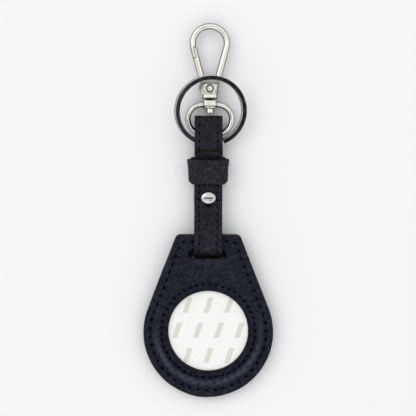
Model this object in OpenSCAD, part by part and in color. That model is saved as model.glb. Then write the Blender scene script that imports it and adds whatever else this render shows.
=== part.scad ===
// Leather tracker tag holder with a looped strap, a split ring and a swivel snap hook.
// It lies on its back: X to the right, Y from the holder towards the hook, Z up.
// Places along Y are first measured from the centre of the round window, then moved
// so that the origin is under the middle of the whole object.

/* [Holder] */
// Radius of the holder's round end
holder_r = 26.4; // [24:0.1:30]
// Distance from the window's centre down to the centre of the round end
holder_drop = 0.7; // [0:0.1:2]
// Distance from the window's centre to the straight top edge
holder_top = 39.1; // [37:0.1:46]
// Width of the holder at its top edge, corners not rounded
holder_top_w = 27.2; // [20:0.1:30]
// Radius of the two top corners
corner_r = 2.4; // [1:0.1:4]
// Thickness of the back and front leather
leather_t = 1.2; // [0.8:0.1:1.6]
// Thickness of the stiff board between the leathers
core_t = 1.4; // [1:0.1:2]
// Radius of the window that the tag sits in
window_r = 16.25; // [15.9:0.05:16.6]
// Width of the slot that the strap passes through
slot_w = 14.4; // [13:0.1:16]
// Height of the slot
slot_h = 3.4; // [3.2:0.1:3.8]
// Height of the strip of leather above the slot
top_strip = 6.5; // [6:0.1:8]

/* [Padding and pad] */
// Inner radius of the foam ring under the front leather
padding_in_r = 19.7; // [19:0.1:21]
// Radial width of the foam ring
padding_w = 2.6; // [2:0.1:3]
// Height of the foam ring
padding_h = 0.8; // [0.4:0.1:1.2]
// Radial gap between the board's hole and the adhesive pad
pad_gap = 1; // [0.8:0.1:1.4]
// Thickness of the paper that covers the adhesive
liner_t = 0.12; // [0.08:0.02:0.2]
// Radial gap between the window's edge and the paper below it
window_gap = 0.15; // [0.1:0.05:0.3]

/* [Strap] */
// Width of the strap
strap_w = 11.4; // [9:0.1:12]
// Thickness of one run of the strap
strap_t = 1.5; // [1.2:0.1:1.8]
// Free height inside the top fold, for the ring and the eye
fold_gap = 5; // [4.9:0.1:6]
// Distance from the ring's lowest point to the strap's top end
fold_reach = 11.45; // [11:0.05:12]
// Radius of the strap's middle where it goes round the holder's top strip
loop_r = 3.25; // [3.2:0.05:3.6]
// Distance from the stud down to the strap's hidden end
strap_tail = 5; // [4:0.1:6]
// Gap between runs of the strap that lie on each other
layer_gap = 0.15; // [0.1:0.05:0.3]

/* [Keeper and stud] */
// Outer width of the keeper loop
keeper_w = 16.2; // [15:0.1:18]
// Length of the keeper along the strap
keeper_len = 10.1; // [8:0.1:11]
// Distance from the stud up to the keeper's lower edge
keeper_rise = 5.3; // [5.2:0.1:6]
// Thickness of the keeper's leather
keeper_t = 1.05; // [0.8:0.05:1.2]
// How far the keeper's back lies beyond its front
keeper_slant = 1.4; // [0:0.1:2]
// Free height above the strap inside the keeper
keeper_room = 0.9; // [0.5:0.1:1.5]
// Distance from the slot's upper edge to the stud
stud_rise = 20.9; // [20:0.1:23]
// Radius of the stud's round head
stud_r = 2.95; // [2.5:0.05:3.5]
// Height of the stud's head
stud_h = 2.3; // [1.5:0.1:3]
// Radius of the stud's neck
neck_r = 1.5; // [1.2:0.05:1.8]

/* [Split ring] */
// Outer radius of the split ring
ring_r = 14.7; // [14:0.05:15]
// Width of the flat wire across the ring
ring_w = 1.5; // [1.2:0.1:1.8]
// Height of one turn of the flat wire
turn_h = 1.02; // [0.8:0.02:1.05]
// Distance from one turn to the next
turn_pitch = 1.46; // [1.45:0.01:1.6]
// How far the ring lies to the right of the middle
ring_x = 0.93; // [0:0.01:1.2]
// Distance from the keeper's upper edge to the ring's lowest point
ring_rise = 6.45; // [6.3:0.05:7]
// How steeply the ring leans up from the fold, in degrees
ring_lean = 11.5; // [10:0.5:13]
// How far the ring is tipped to the right, in degrees
ring_tip = 6; // [0:0.5:6.5]

/* [Eye and swivel] */
// Outer half width of the eye
eye_half_w = 10; // [9:0.1:10.5]
// Outer half height of the eye
eye_half_h = 7; // [6.5:0.1:7.5]
// Distance from the ring's lowest point to the eye's lower bar
eye_rise = 4.15; // [4:0.05:4.6]
// Diameter of the eye's wire
eye_wire = 2.2; // [1.6:0.1:2.2]
// Diameter of the swivel barrel
barrel_d = 5.5; // [5:0.1:6]
// Length of the swivel barrel
barrel_len = 2.95; // [2.5:0.05:3.2]
// Radius of the swivel post's shank
post_r = 1.2; // [1:0.05:1.4]
// Radius of the swivel post's head
post_head_r = 1.7; // [1.5:0.05:2]
// Running gap between post and barrel, on radius
run_gap = 0.05; // [0.03:0.01:0.1]

/* [Hook] */
// How far the hook's axis lies to the right of the middle
hook_x = 0.7; // [0:0.05:1]
// Height of the hook's middle plane over the table
hook_z = 2.9; // [2.8:0.05:3.2]
// Distance from the eye's centre to the hook's neck
neck_rise = 8.3; // [8.2:0.05:8.8]
// Diameter of the neck
neck_d = 6.1; // [5.6:0.1:6.5]
// Length of the neck
neck_len = 1.6; // [1.2:0.1:2]
// Width of the block at the neck
block_w_low = 6.6; // [6:0.1:7]
// Width of the block at its far end
block_w_top = 9.1; // [8.6:0.1:9.4]
// Thickness of the block
block_t = 4.6; // [4.4:0.1:5]
// Distance from the neck's lower end to the gate's rivet
rivet_rise = 4; // [3.8:0.1:4.2]
// Distance from the neck's lower end to the centre of the bow
bow_rise = 22.4; // [20.4:0.1:24.4]
// Outer radius of the bow
bow_r = 8.2; // [7.8:0.1:8.6]
// Diameter of the wire in the hook's bow
bow_wire = 2.6; // [2.4:0.05:2.65]
// Diameter of the hook's leg and nose
leg_wire_d = 2.75; // [2.65:0.05:2.85]
// Angle of each leg to the hook's axis, in degrees
leg_angle = 15; // [13:0.5:16]
// Radius of the gate's bar
gate_r = 1.35; // [1.2:0.05:1.4]

/* [Stitches] */
// Diameter of the sewing thread
thread_d = 0.44; // [0.3:0.02:0.5]
// Distance from the holder's edge to the outer seam
seam_inset = 3; // [2.5:0.1:3.5]
// Distance between stitches in the outer seam
outer_pitch = 3.45; // [3:0.05:4]
// Distance from the window's edge to the inner seam
inner_inset = 2.65; // [2.2:0.05:2.9]
// Distance between stitches in the inner seam
inner_pitch = 2.6; // [2.2:0.05:3]
// Distance between stitches along the strap
strap_pitch = 3.4; // [3:0.05:4]
// Distance from the strap's edge to its seam
strap_inset = 1.9; // [1.5:0.1:2.5]

/* [Hidden] */
$fn = 48;

// Overrun of every cut
over = 1;
// Gap between faces that touch on the real object
seat = 0.01;

// Holder, from the bottom of the round end
holder_bottom = -holder_drop - holder_r;
holder_t = 2 * leather_t + core_t;
slot_y = holder_top - top_strip - slot_h;
pad_r = window_r - window_gap;
core_hole_r = pad_r + pad_gap;
liner_sink = 0.15;
pad_t = core_t - liner_t - liner_sink;
puff_rise = padding_h;
puff_margin = 0.5;
puff_in_r = padding_in_r - puff_margin;
puff_out_r = padding_in_r + padding_w + puff_margin;
puff_steps = 10;

// Places along Y, each one counted on from the one before it
stud_y = slot_y + slot_h + stud_rise;
strap_end_y = stud_y - strap_tail;
keeper_y = stud_y + keeper_rise;
ring_foot_y = keeper_y + keeper_len + ring_rise;
fold_top = ring_foot_y + fold_reach;
eye_arc_r = eye_half_h - eye_wire / 2;
eye_y = ring_foot_y + eye_rise + eye_arc_r;
neck_y = eye_y + neck_rise;
rivet_y = neck_y + rivet_rise;
bow_y = neck_y + bow_rise;

// Heights of the strap's runs, from the table up
table_gap = 0.1;
back_z = keeper_t + 2 * layer_gap + strap_t / 2 - table_gap;
base_z = back_z + strap_t + layer_gap;
tongue_z = base_z + strap_t + layer_gap;
fold_low_z = table_gap + strap_t / 2;
fold_r = (fold_gap + strap_t) / 2;
fold_z = fold_low_z + fold_r;
fold_high_z = fold_low_z + 2 * fold_r;
fold_y = fold_top - fold_r - strap_t / 2;
loop_z = back_z + loop_r;
loop_high_z = back_z + 2 * loop_r;
loop_inset = 4.25;
loop_y = slot_y + loop_inset;

// Where the strap rises and falls between its heights
dip_start_y = slot_y + slot_h + strap_t + 2 * seam_inset;
dip_end_y = stud_y - neck_r - strap_t;
rise_start_y = keeper_y + keeper_len - layer_gap;
rise_len = 6.3;
drop_start_y = keeper_y + keeper_len + keeper_slant + 2 * layer_gap;
drop_len = 4.2;
tip_share = 0.7;
bend_steps = 10;
arc_steps = 16;

// The holder leans on its round end, its top strip just over the strap's back run
strip_gap = 0.25;
strip_reach = slot_y + slot_h - holder_bottom;
holder_lean = asin((back_z + strap_t / 2 + strip_gap) / strip_reach);

// The origin lies under the middle of the object's box
low_y = holder_bottom - holder_t * sin(holder_lean);
high_y = bow_y + bow_r;
mid_y = (low_y + high_y) / 2;

// Tongue tip, keyhole and stud
tip_w = 6.9;
tip_shoulder_w = 9.2;
tip_shoulder_len = 2.6;
keyhole_r = neck_r + strap_t / 8;
slit_w = keyhole_r;
slit_len = 3.8;
screw_r = 1;
screw_head_r = stud_r;
screw_head_t = 0.9;
screw_hole_r = screw_r + run_gap;
screw_depth = 1.6;
head_lift = 0.2;

// Keeper
keeper_corner_r = 2.4;
keeper_high_z = tongue_z + strap_t / 2 + keeper_room + keeper_t;
staple_r = 0.25;
staple_w = 6;

// Split ring
ring_mid_r = ring_r - ring_w / 2;
ring_foot_z = fold_z;
ring_steps = 44;
jog_deg = 30;
jog_at = -59;

// Eye and swivel
eye_straight = eye_half_w - eye_half_h;
eye_top_y = eye_y + eye_arc_r;
collar_r = 1.3;
collar_w = 7;
barrel_y = eye_top_y - barrel_len / 2 + collar_r / 50;
post_head_len = 1.75;
post_play = 0.3;
post_seat = 0.02;
post_depth = 1.5;

// Hook block, gate and rivet
block_y = neck_y + neck_len;
block_len = 5.6;
block_top_y = block_y + block_len;
cheek_drop = 0.6;
cheek_top_y = block_top_y - cheek_drop;
cheek_corner_r = 2.4;
gap_half_t = 1.3;
gate_root_half_t = 1.1;
gate_root_r = 1.75;
gap_floor_y = rivet_y - gate_root_r - 0.35 * gate_r;
gap_side_x = 2.3;
rivet_r = 0.8;
rivet_seat = 0.01;
rivet_head_r = 1.17;
rivet_recess_r = 1.65;
rivet_recess = 0.25;
rivet_head_t = 0.4;
spring_t = 0.28;
spring_w = 1.8;
spring_len = 4.6;

// Legs and lap of the gate on the nose
bow_mid_r = bow_r - bow_wire / 2;
leg_x = bow_mid_r * cos(leg_angle);
leg_y = bow_y - bow_mid_r * sin(leg_angle);
gate_root_rise = 0.3;
gate_root_y = block_top_y + gate_root_rise;
gate_root_x = -(leg_x - (leg_y - gate_root_y) * tan(leg_angle));
gate_len = (leg_y - gate_root_y) / cos(leg_angle);
leg_sunk = 0.3;
lap_len = 4.2;
lap_gap = 0.1;
shoulder_gap = 0.15;
gate_top_gap = 0.35;
// Slant of the lap's end, square to the line from the rivet, so that the gate slides past it
lap_slant = atan((leg_x - lap_len * sin(leg_angle))
    / (leg_y - lap_len * cos(leg_angle) - rivet_y)) - leg_angle;

// Stitches
thread_r = thread_d / 2;
stitch_share = 0.78;
stitch_lift = 0.1;
thread_sides = 14;

// Points on an arc of a circle, from one angle to another
function arc(cx, cy, r, a0, a1, n) =
    [for (i = [0 : n]) let (a = a0 + (a1 - a0) * i / n) [cx + r * cos(a), cy + r * sin(a)]];

// Points on a smooth step from one place to another
function step_points(p, q, n, until = 1) =
    [for (i = [0 : n]) let (u = until * i / n)
        [p[0] + (q[0] - p[0]) * u, p[1] + (q[1] - p[1]) * (1 - cos(180 * u)) / 2]];

// Unit normal at each point of a path, to the left of its direction
function normals(p) =
    [for (i = [0 : len(p) - 1])
        let (a = p[max(i - 1, 0)], b = p[min(i + 1, len(p) - 1)], d = (b - a) / norm(b - a))
        [-d[1], d[0]]];

// A path moved sideways by a distance
function shifted(p, d) =
    let (n = normals(p)) [for (i = [0 : len(p) - 1]) p[i] + d * n[i]];

// A closed outline between two shifts of a path
function band(p, d0, d1) =
    let (a = shifted(p, d0), b = shifted(p, d1))
    concat(a, [for (i = [len(b) - 1 : -1 : 0]) b[i]]);

// Length of a path up to each of its points
function lengths(p) =
    [for (i = 0, s = 0; i < len(p);
          s = i + 1 < len(p) ? s + norm(p[i + 1] - p[i]) : s, i = i + 1) s];

// Place and direction at a length along a path
function spot(p, c, s) =
    let (i = max([for (k = [0 : len(p) - 2]) if (c[k] <= s) k]),
         d = p[i + 1] - p[i], u = (s - c[i]) / (c[i + 1] - c[i]))
    [p[i][0] + d[0] * u, p[i][1] + d[1] * u, atan2(d[1], d[0])];

// The spots of evenly spaced stitches along a path
function stitch_spots(p, pitch) =
    let (c = lengths(p), total = c[len(c) - 1], n = round(total / pitch))
    [for (k = [0 : n - 1]) spot(p, c, (k + 1 / 2) * total / n)];

// The strap's middle line in Y and Z, from its hidden end to the tongue's tip
base_run = concat([[strap_end_y, base_z]],
    step_points([rise_start_y, base_z], [rise_start_y + rise_len, fold_high_z], bend_steps),
    arc(fold_y, fold_z, fold_r, 90, -90, arc_steps));
back_run = concat(
    step_points([drop_start_y + drop_len, fold_low_z], [drop_start_y, back_z], bend_steps),
    arc(loop_y, loop_z, loop_r, 270, 90, arc_steps));
dip_run = concat(
    step_points([dip_start_y, loop_high_z], [dip_end_y, tongue_z], bend_steps),
    [[stud_y - neck_r, tongue_z]]);
tongue_lift = shifted(
    step_points([rise_start_y, base_z], [rise_start_y + rise_len, fold_high_z],
                bend_steps, tip_share), strap_t + layer_gap);
tongue_run = concat([[dip_end_y, tongue_z]], tongue_lift);
strap_run = concat(base_run, back_run, dip_run);
tip_y = tongue_lift[len(tongue_lift) - 1][0];

// Moves everything so that the origin is under the middle of the object
module centred() {
    translate([0, -mid_y, 0]) children();
}

// Places what is drawn flat on the holder's own plane
module on_holder(z = 0) {
    centred() translate([0, holder_bottom, 0]) rotate([holder_lean, 0, 0])
        translate([0, -holder_bottom, z]) children();
}

// Places what is drawn on the hook's axis and middle plane
module on_hook() {
    centred() translate([hook_x, 0, hook_z]) children();
}

// Two circles joined by their outer tangents
module link(p, rp, q, rq) {
    d = q - p;
    a = atan2(d[1], d[0]);
    b = acos((rp - rq) / norm(d));
    translate(p) circle(rp);
    translate(q) circle(rq);
    polygon([p + rp * [cos(a - b), sin(a - b)], q + rq * [cos(a - b), sin(a - b)],
             q + rq * [cos(a + b), sin(a + b)], p + rp * [cos(a + b), sin(a + b)]]);
}

// Outline of the holder, drawn in by a distance smaller than its corner radius
module holder_outline(inset = 0) {
    corner_x = holder_top_w / 2 - corner_r;
    corner_y = holder_top - corner_r;
    low = [0, -holder_drop];
    link(low, holder_r - inset, [corner_x, corner_y], corner_r - inset);
    link(low, holder_r - inset, [-corner_x, corner_y], corner_r - inset);
    polygon([low, [corner_x, holder_top - inset], [-corner_x, holder_top - inset]]);
}

module slot_outline() {
    half = slot_w / 2 - slot_h / 2;
    for (x = [-half, half]) translate([x, slot_y + slot_h / 2]) circle(slot_h / 2);
    translate([-half, slot_y]) square([2 * half, slot_h]);
}

// One layer of the holder with its slot
module holder_layer(t, inset = 0) {
    difference() {
        linear_extrude(t) holder_outline(inset);
        translate([0, 0, -over]) linear_extrude(t + 2 * over) slot_outline();
    }
}

module back_panel() {
    color("#23262e") on_holder() holder_layer(leather_t);
}

module core_board() {
    color("#5c4a3a") on_holder(leather_t) difference() {
        holder_layer(core_t, seat * 10);
        translate([0, 0, -over]) cylinder(h = core_t + 2 * over, r = core_hole_r);
    }
}

// Half section of the raised ring, as a low arch over the foam
module puff_section(r0, r1, rise) {
    polygon(concat([[r0, 0]],
        [for (i = [1 : puff_steps - 1])
            [r0 + (r1 - r0) * i / puff_steps, rise * sin(180 * i / puff_steps)]],
        [[r1, 0]]));
}

module padding_ring() {
    color("#8a8a86") on_holder(leather_t + core_t)
        rotate_extrude($fn = 96)
            puff_section(padding_in_r, padding_in_r + padding_w, padding_h);
}

module front_panel() {
    color("#23262e") on_holder(leather_t + core_t) difference() {
        union() {
            holder_layer(leather_t);
            translate([0, 0, leather_t])
                rotate_extrude($fn = 96) puff_section(puff_in_r, puff_out_r, puff_rise);
        }
        translate([0, 0, -over]) cylinder(h = leather_t + 2 * over, r = window_r);
        rotate_extrude($fn = 96)
            puff_section(padding_in_r - seat, padding_in_r + padding_w + seat,
                         padding_h + 4 * seat);
    }
}

module adhesive_pad() {
    color("#d9d7d0") on_holder(leather_t) cylinder(h = pad_t, r = pad_r);
}

module release_liner() {
    color("#f4f4f2") on_holder(leather_t + pad_t + seat)
        cylinder(h = liner_t, r = pad_r);
}

// One stitch lying along X, its underside on z = 0
module stitch(length) {
    translate([-length / 2, 0, thread_r]) rotate([0, 90, 0])
        cylinder(h = length, r = thread_r, $fn = thread_sides);
}

// A row of stitches along a closed or open path in the XY plane
module flat_seam(path, pitch) {
    for (s = stitch_spots(path, pitch))
        translate([s[0], s[1], 0]) rotate(s[2]) stitch(pitch * stitch_share);
}

// Path of the outer seam: the round end, both sides and the top, drawn in alike
function seam_path() =
    let (corner = [holder_top_w / 2 - corner_r, holder_top - corner_r],
         low = [0, -holder_drop], d = corner - low,
         side = atan2(d[1], d[0]) - acos((holder_r - corner_r) / norm(d)),
         r = holder_r - seam_inset, y = holder_top - seam_inset,
         x = (r - (y + holder_drop) * sin(side)) / cos(side))
    concat(arc(0, -holder_drop, r, side, -180 - side, 4 * arc_steps),
           [[-x, y], [x, y], [r * cos(side), r * sin(side) - holder_drop]]);

module outer_seam() {
    color("#1b1d4e") on_holder(holder_t + seat) flat_seam(seam_path(), outer_pitch);
}

module inner_seam() {
    color("#1b1d4e") on_holder(holder_t + seat)
        flat_seam(arc(0, 0, window_r + inner_inset, 90, 90 + 360, 4 * arc_steps), inner_pitch);
}

// One ply of the strap between two shifts of its middle line
module ply(d0, d1) {
    half = strap_w / 2;
    difference() {
        union() {
            rotate([90, 0, 90]) translate([0, 0, -half])
                linear_extrude(strap_w) polygon(band(strap_run, d0, d1));
            intersection() {
                rotate([90, 0, 90]) translate([0, 0, -half])
                    linear_extrude(strap_w) polygon(band(tongue_run, d0, d1));
                tongue_plan();
            }
        }
        keyhole();
        translate([0, stud_y, 0])
            cylinder(h = base_z + strap_t / 2 + layer_gap / 2, r = screw_hole_r);
    }
}

// Plan of the tongue with its narrowed tip
module tongue_plan() {
    half = strap_w / 2;
    linear_extrude(fold_high_z + strap_t + over) polygon([
        [-half, dip_end_y - over], [half, dip_end_y - over],
        [half, tip_y - tip_shoulder_len - over], [tip_shoulder_w / 2, tip_y - tip_shoulder_len],
        [tip_w / 2, tip_y + over / 10], [-tip_w / 2, tip_y + over / 10],
        [-tip_shoulder_w / 2, tip_y - tip_shoulder_len],
        [-half, tip_y - tip_shoulder_len - over]]);
}

// Hole and slit in the tongue that the stud's head is pushed through
module keyhole() {
    translate([0, stud_y, base_z + strap_t / 2 + layer_gap / 2])
        linear_extrude(strap_t + 2 * layer_gap) {
            circle(keyhole_r);
            polygon([[-slit_w / 2, 0], [slit_w / 2, 0], [0, -slit_len]]);
        }
}

module strap_outer() {
    color("#23262e") centred() ply(0, strap_t / 2);
}

module strap_lining() {
    color("#2b2a30") centred() ply(-strap_t / 2, 0);
}

// A row of stitches on top of a path in Y and Z, at a place across the strap
module strap_row(x, path) {
    for (s = stitch_spots(shifted(path, strap_t / 2 + thread_r + stitch_lift), strap_pitch))
        translate([x, s[0], s[1]]) rotate([s[2], 0, 0]) rotate([0, 0, 90])
            translate([0, 0, -thread_r]) stitch(strap_pitch * stitch_share);
}

module strap_seam() {
    x = strap_w / 2 - strap_inset;
    over_loop = concat([[loop_y, loop_high_z]], dip_run);
    along_tongue = [[stud_y, tongue_z], [rise_start_y - layer_gap, tongue_z]];
    over_fold = [[rise_start_y + rise_len, fold_high_z], [fold_y, fold_high_z]];
    color("#1b1d4e") centred() {
        for (side = [-x, x]) {
            strap_row(side, over_loop);
            strap_row(side, along_tongue);
            strap_row(side, over_fold);
        }
    }
}

// Rectangle with round corners, centred in X, standing on y = 0
module round_rect(w, h, r) {
    translate([-w / 2, r]) square([w, h - 2 * r]);
    translate([-w / 2 + r, 0]) square([w - 2 * r, h]);
    for (x = [-w / 2 + r, w / 2 - r], y = [r, h - r]) translate([x, y]) circle(r);
}

module keeper() {
    inner_w = keeper_w - 2 * keeper_t;
    inner_h = keeper_high_z - 2 * keeper_t;
    whole = keeper_len + keeper_slant;
    color("#2a2b32") centred() difference() {
        intersection() {
            translate([0, keeper_y + whole, 0]) rotate([90, 0, 0]) linear_extrude(whole)
                difference() {
                    round_rect(keeper_w, keeper_high_z, keeper_corner_r);
                    translate([0, keeper_t])
                        round_rect(inner_w, inner_h, keeper_corner_r - keeper_t);
                }
            rotate([90, 0, 90]) translate([0, 0, -keeper_w]) linear_extrude(2 * keeper_w)
                polygon([[keeper_y + keeper_slant, 0], [keeper_y + whole, 0],
                         [keeper_y + keeper_len, keeper_high_z], [keeper_y, keeper_high_z]]);
        }
        staple_shape(seat);
    }
}

// Wire staple that closes the keeper's butt joint from inside
module staple_shape(gap) {
    r = staple_r + gap;
    y = keeper_y + keeper_len / 2 + keeper_slant;
    z = keeper_t - staple_r;
    translate([-staple_w / 2 - gap, y, z]) rotate([0, 90, 0])
        cylinder(h = staple_w + 2 * gap, r = r, $fn = 24);
    if (gap > 0) translate([-staple_w / 2 - gap, y - r, z])
        cube([staple_w + 2 * gap, 2 * r, staple_r + over / 2]);
}

module keeper_staple() {
    color("#c9c7bf") centred() staple_shape(0);
}

module stud_head() {
    neck_z = base_z + strap_t / 2 + seat;
    head_z = tongue_z + strap_t / 2 + head_lift;
    edge = stud_h / 5;
    color("#bdbcb6") centred() translate([0, stud_y, 0]) difference() {
        rotate_extrude() polygon(concat(
            [[0, neck_z], [neck_r, neck_z], [neck_r, head_z], [stud_r - edge, head_z],
             [stud_r, head_z + edge]],
            [for (i = [1 : 7]) let (a = 90 * i / 8)
                [stud_r * cos(a), head_z + edge + (stud_h - edge) * sin(a)]],
            [[0, head_z + stud_h]]));
        translate([0, 0, neck_z - over]) cylinder(h = screw_depth + over, r = screw_r + seat);
    }
}

module stud_screw() {
    low_z = back_z - strap_t / 2 - seat;
    top_z = base_z + strap_t / 2 + screw_depth - 2 * seat;
    slot = screw_head_t / 3;
    color("#bdbcb6") centred() translate([0, stud_y, 0]) difference() {
        union() {
            translate([0, 0, low_z - screw_head_t]) cylinder(h = screw_head_t, r = screw_head_r);
            translate([0, 0, low_z - screw_head_t / 2])
                cylinder(h = top_z - low_z + screw_head_t / 2, r = screw_r);
        }
        translate([-screw_head_r - over, -slot, low_z - screw_head_t - over])
            cube([2 * (screw_head_r + over), 2 * slot, slot + over]);
    }
}

// Angles and heights along the two flat turns and the short jog between them
function ring_angle(i, n) = jog_at + jog_deg / 2 + (720 - jog_deg) * i / n;
function ring_height(i, n) =
    let (s = ((720 - jog_deg) * i / n - (360 - jog_deg)) / jog_deg,
         u = min(max(s, 0), 1))
    turn_pitch * (1 - cos(180 * u)) / 2 - turn_pitch / 2;

module split_ring() {
    n = 2 * ring_steps;
    half_w = ring_w / 2;
    half_h = turn_h / 2;
    section = [[-half_w, -half_h], [half_w, -half_h], [half_w, half_h], [-half_w, half_h]];
    points = [for (i = [0 : n], c = section)
        let (a = ring_angle(i, n), r = ring_mid_r + c[0])
        [r * cos(a), r * sin(a), ring_height(i, n) + c[1]]];
    q = len(section);
    sides = [for (i = [0 : n - 1], k = [0 : q - 1]) let (m = (k + 1) % q, a = q * i, b = a + q)
        each [[a + k, b + k, b + m], [a + k, b + m, a + m]]];
    last = q * n;
    ends = [[0, 1, 2], [0, 2, 3], [last + 2, last + 1, last], [last + 3, last + 2, last]];
    middle = [for (i = [0 : n]) let (a = ring_angle(i, n))
        [ring_mid_r * cos(a), ring_mid_r * sin(a), ring_height(i, n)]];
    least = min([for (i = [0 : n - 1], j = [i + ring_steps / 2 : n]) norm(middle[j] - middle[i])]);
    echo(least_ring_gap_mm = least - turn_h);
    color("#8e9192") centred() translate([ring_x, ring_foot_y, ring_foot_z])
        rotate([ring_lean, 0, 0]) translate([0, ring_mid_r, 0]) rotate([0, ring_tip, 0])
            polyhedron(points, concat(sides, ends));
}

// Wire bar along Y
module bar_y(y0, y1, r) {
    translate([0, y0, 0]) rotate([-90, 0, 0]) cylinder(h = y1 - y0, r = r);
}

// Wire bar along X, centred
module bar_x(w, r) {
    translate([-w / 2, 0, 0]) rotate([0, 90, 0]) cylinder(h = w, r = r);
}

module eye_loop() {
    color("#c9c7bf") on_hook() difference() {
        union() {
            for (side = [0, 180])
                translate([(side == 0 ? 1 : -1) * eye_straight, eye_y, 0])
                    rotate([0, 0, side - 90])
                        rotate_extrude(angle = 180) translate([eye_arc_r, 0]) circle(eye_wire / 2);
            for (y = [eye_y - eye_arc_r, eye_top_y])
                translate([0, y, 0]) bar_x(2 * eye_straight, eye_wire / 2);
            translate([0, eye_top_y, 0]) bar_x(collar_w, collar_r);
            bar_y(barrel_y, barrel_y + barrel_len, barrel_d / 2);
        }
        bar_y(barrel_y - over, barrel_y + barrel_len + over, post_r + run_gap);
    }
}

module swivel_post() {
    head_y = barrel_y - post_play - post_head_len;
    color("#c9c7bf") on_hook() {
        bar_y(head_y, head_y + post_head_len, post_head_r);
        bar_y(head_y + post_head_len / 2, neck_y + post_depth, post_r);
    }
}

// Plan of the hook's block with its rounded corner over the gate's root
module block_plan() {
    low = block_w_low / 2;
    high = block_w_top / 2;
    polygon(concat([[-low, block_y], [low, block_y], [high, block_top_y],
                    [high / 2, block_top_y]],
        arc(-high + cheek_corner_r, cheek_top_y - cheek_corner_r, cheek_corner_r, 90, 180, 6)));
}

// The wire of one leg, from just inside the bow down towards the block, on the right side
module leg_wire(length, r, sunk = 0) {
    translate([leg_x, leg_y, 0]) rotate([90, 0, -leg_angle]) translate([0, 0, -sunk])
        cylinder(h = length + sunk, r = r);
}

module hook_body() {
    gap_w = block_w_top;
    color("#c9c7bf") on_hook() difference() {
        union() {
            bar_y(neck_y, block_y + seat, neck_d / 2);
            difference() {
                translate([0, 0, -block_t / 2]) linear_extrude(block_t) block_plan();
                translate([gap_side_x - gap_w, gap_floor_y, -gap_half_t])
                    cube([gap_w, gap_w, 2 * gap_half_t]);
            }
            leg_wire((leg_y - cheek_top_y) / cos(leg_angle), leg_wire_d / 2, leg_sunk);
            translate([0, bow_y, 0]) rotate([0, 0, -leg_angle])
                rotate_extrude(angle = 180 + 2 * leg_angle)
                    translate([bow_mid_r, 0]) circle(bow_wire / 2);
            mirror([1, 0, 0]) difference() {
                leg_wire(lap_len + leg_wire_d, leg_wire_d / 2, leg_sunk);
                nose_lap();
                below_lap(0);
            }
        }
        bar_y(neck_y - over, neck_y + post_depth + post_seat, post_r + post_seat);
        translate([0, rivet_y, -block_t]) cylinder(h = 2 * block_t, r = rivet_r + rivet_seat);
        for (side = [-1, 1])
            translate([0, rivet_y, side * block_t / 2 - rivet_recess])
                cylinder(h = 2 * rivet_recess, r = rivet_recess_r);
    }
}

// The inner half that the hook's nose gives up to the gate
module nose_lap() {
    r = 2 * leg_wire_d;
    translate([leg_x, leg_y, 0]) rotate([0, 0, -leg_angle])
        translate([-r + lap_gap, -2 * lap_len, -r]) cube([r, 2 * lap_len, 2 * r]);
}

// All that lies below the slanted end of the lap, lowered by a gap
module below_lap(gap) {
    r = 2 * leg_wire_d;
    translate([leg_x, leg_y, 0]) rotate([0, 0, -leg_angle]) translate([0, -lap_len - gap, 0])
        rotate([0, 0, -lap_slant]) translate([-r, -2 * r, -r]) cube([2 * r, 2 * r, 2 * r]);
}

module gate() {
    color("#c9c7bf") on_hook() difference() {
        union() {
            translate([0, 0, -gate_root_half_t]) linear_extrude(2 * gate_root_half_t)
                link([0, rivet_y], gate_root_r, [gate_root_x, gate_root_y], gate_r);
            mirror([1, 0, 0]) difference() {
                leg_wire(gate_len - lap_gap, gate_r, -gate_top_gap);
                gate_lap();
            }
        }
        translate([0, rivet_y, -block_t]) cylinder(h = 2 * block_t, r = rivet_r + run_gap);
    }
}

// The outer half that the gate gives up to the hook's nose
module gate_lap() {
    r = 2 * leg_wire_d;
    difference() {
        translate([leg_x, leg_y, 0]) rotate([0, 0, -leg_angle])
            translate([-lap_gap, -2 * lap_len, -r]) cube([r, 4 * lap_len, 2 * r]);
        below_lap(shoulder_gap);
    }
}

module gate_rivet() {
    low = -block_t / 2 + rivet_recess - seat;
    color("#d4d2ca") on_hook() translate([0, rivet_y, 0]) {
        translate([0, 0, low - seat]) cylinder(h = -2 * (low - seat), r = rivet_r);
        for (side = [0, 1]) mirror([0, 0, side])
            translate([0, 0, low - rivet_head_t]) cylinder(h = rivet_head_t, r = rivet_head_r);
    }
}

module gate_spring() {
    color("#9a9a94") on_hook()
        translate([gap_side_x - spring_len - spring_t, gap_floor_y + 2 * seat, -spring_w / 2])
            cube([spring_len, spring_t, spring_w]);
}

back_panel();
core_board();
padding_ring();
front_panel();
outer_seam();
inner_seam();
adhesive_pad();
release_liner();
strap_outer();
strap_lining();
strap_seam();
keeper();
keeper_staple();
stud_head();
stud_screw();
split_ring();
eye_loop();
swivel_post();
hook_body();
gate();
gate_rivet();
gate_spring();
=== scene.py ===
# %% [markdown]
# # A leather tag holder with a strap, a split ring and a snap hook
#
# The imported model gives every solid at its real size. This lesson dresses it: leather with grain,
# stitches and raw edges, a paper liner in the window, and bright nickel for the hook and the
# ring. All lengths below are in millimetres as drawn, with Y counted from the centre of the
# window, and one function turns them into the frame's metres.

# %% Load the fixed frame
import math

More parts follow.
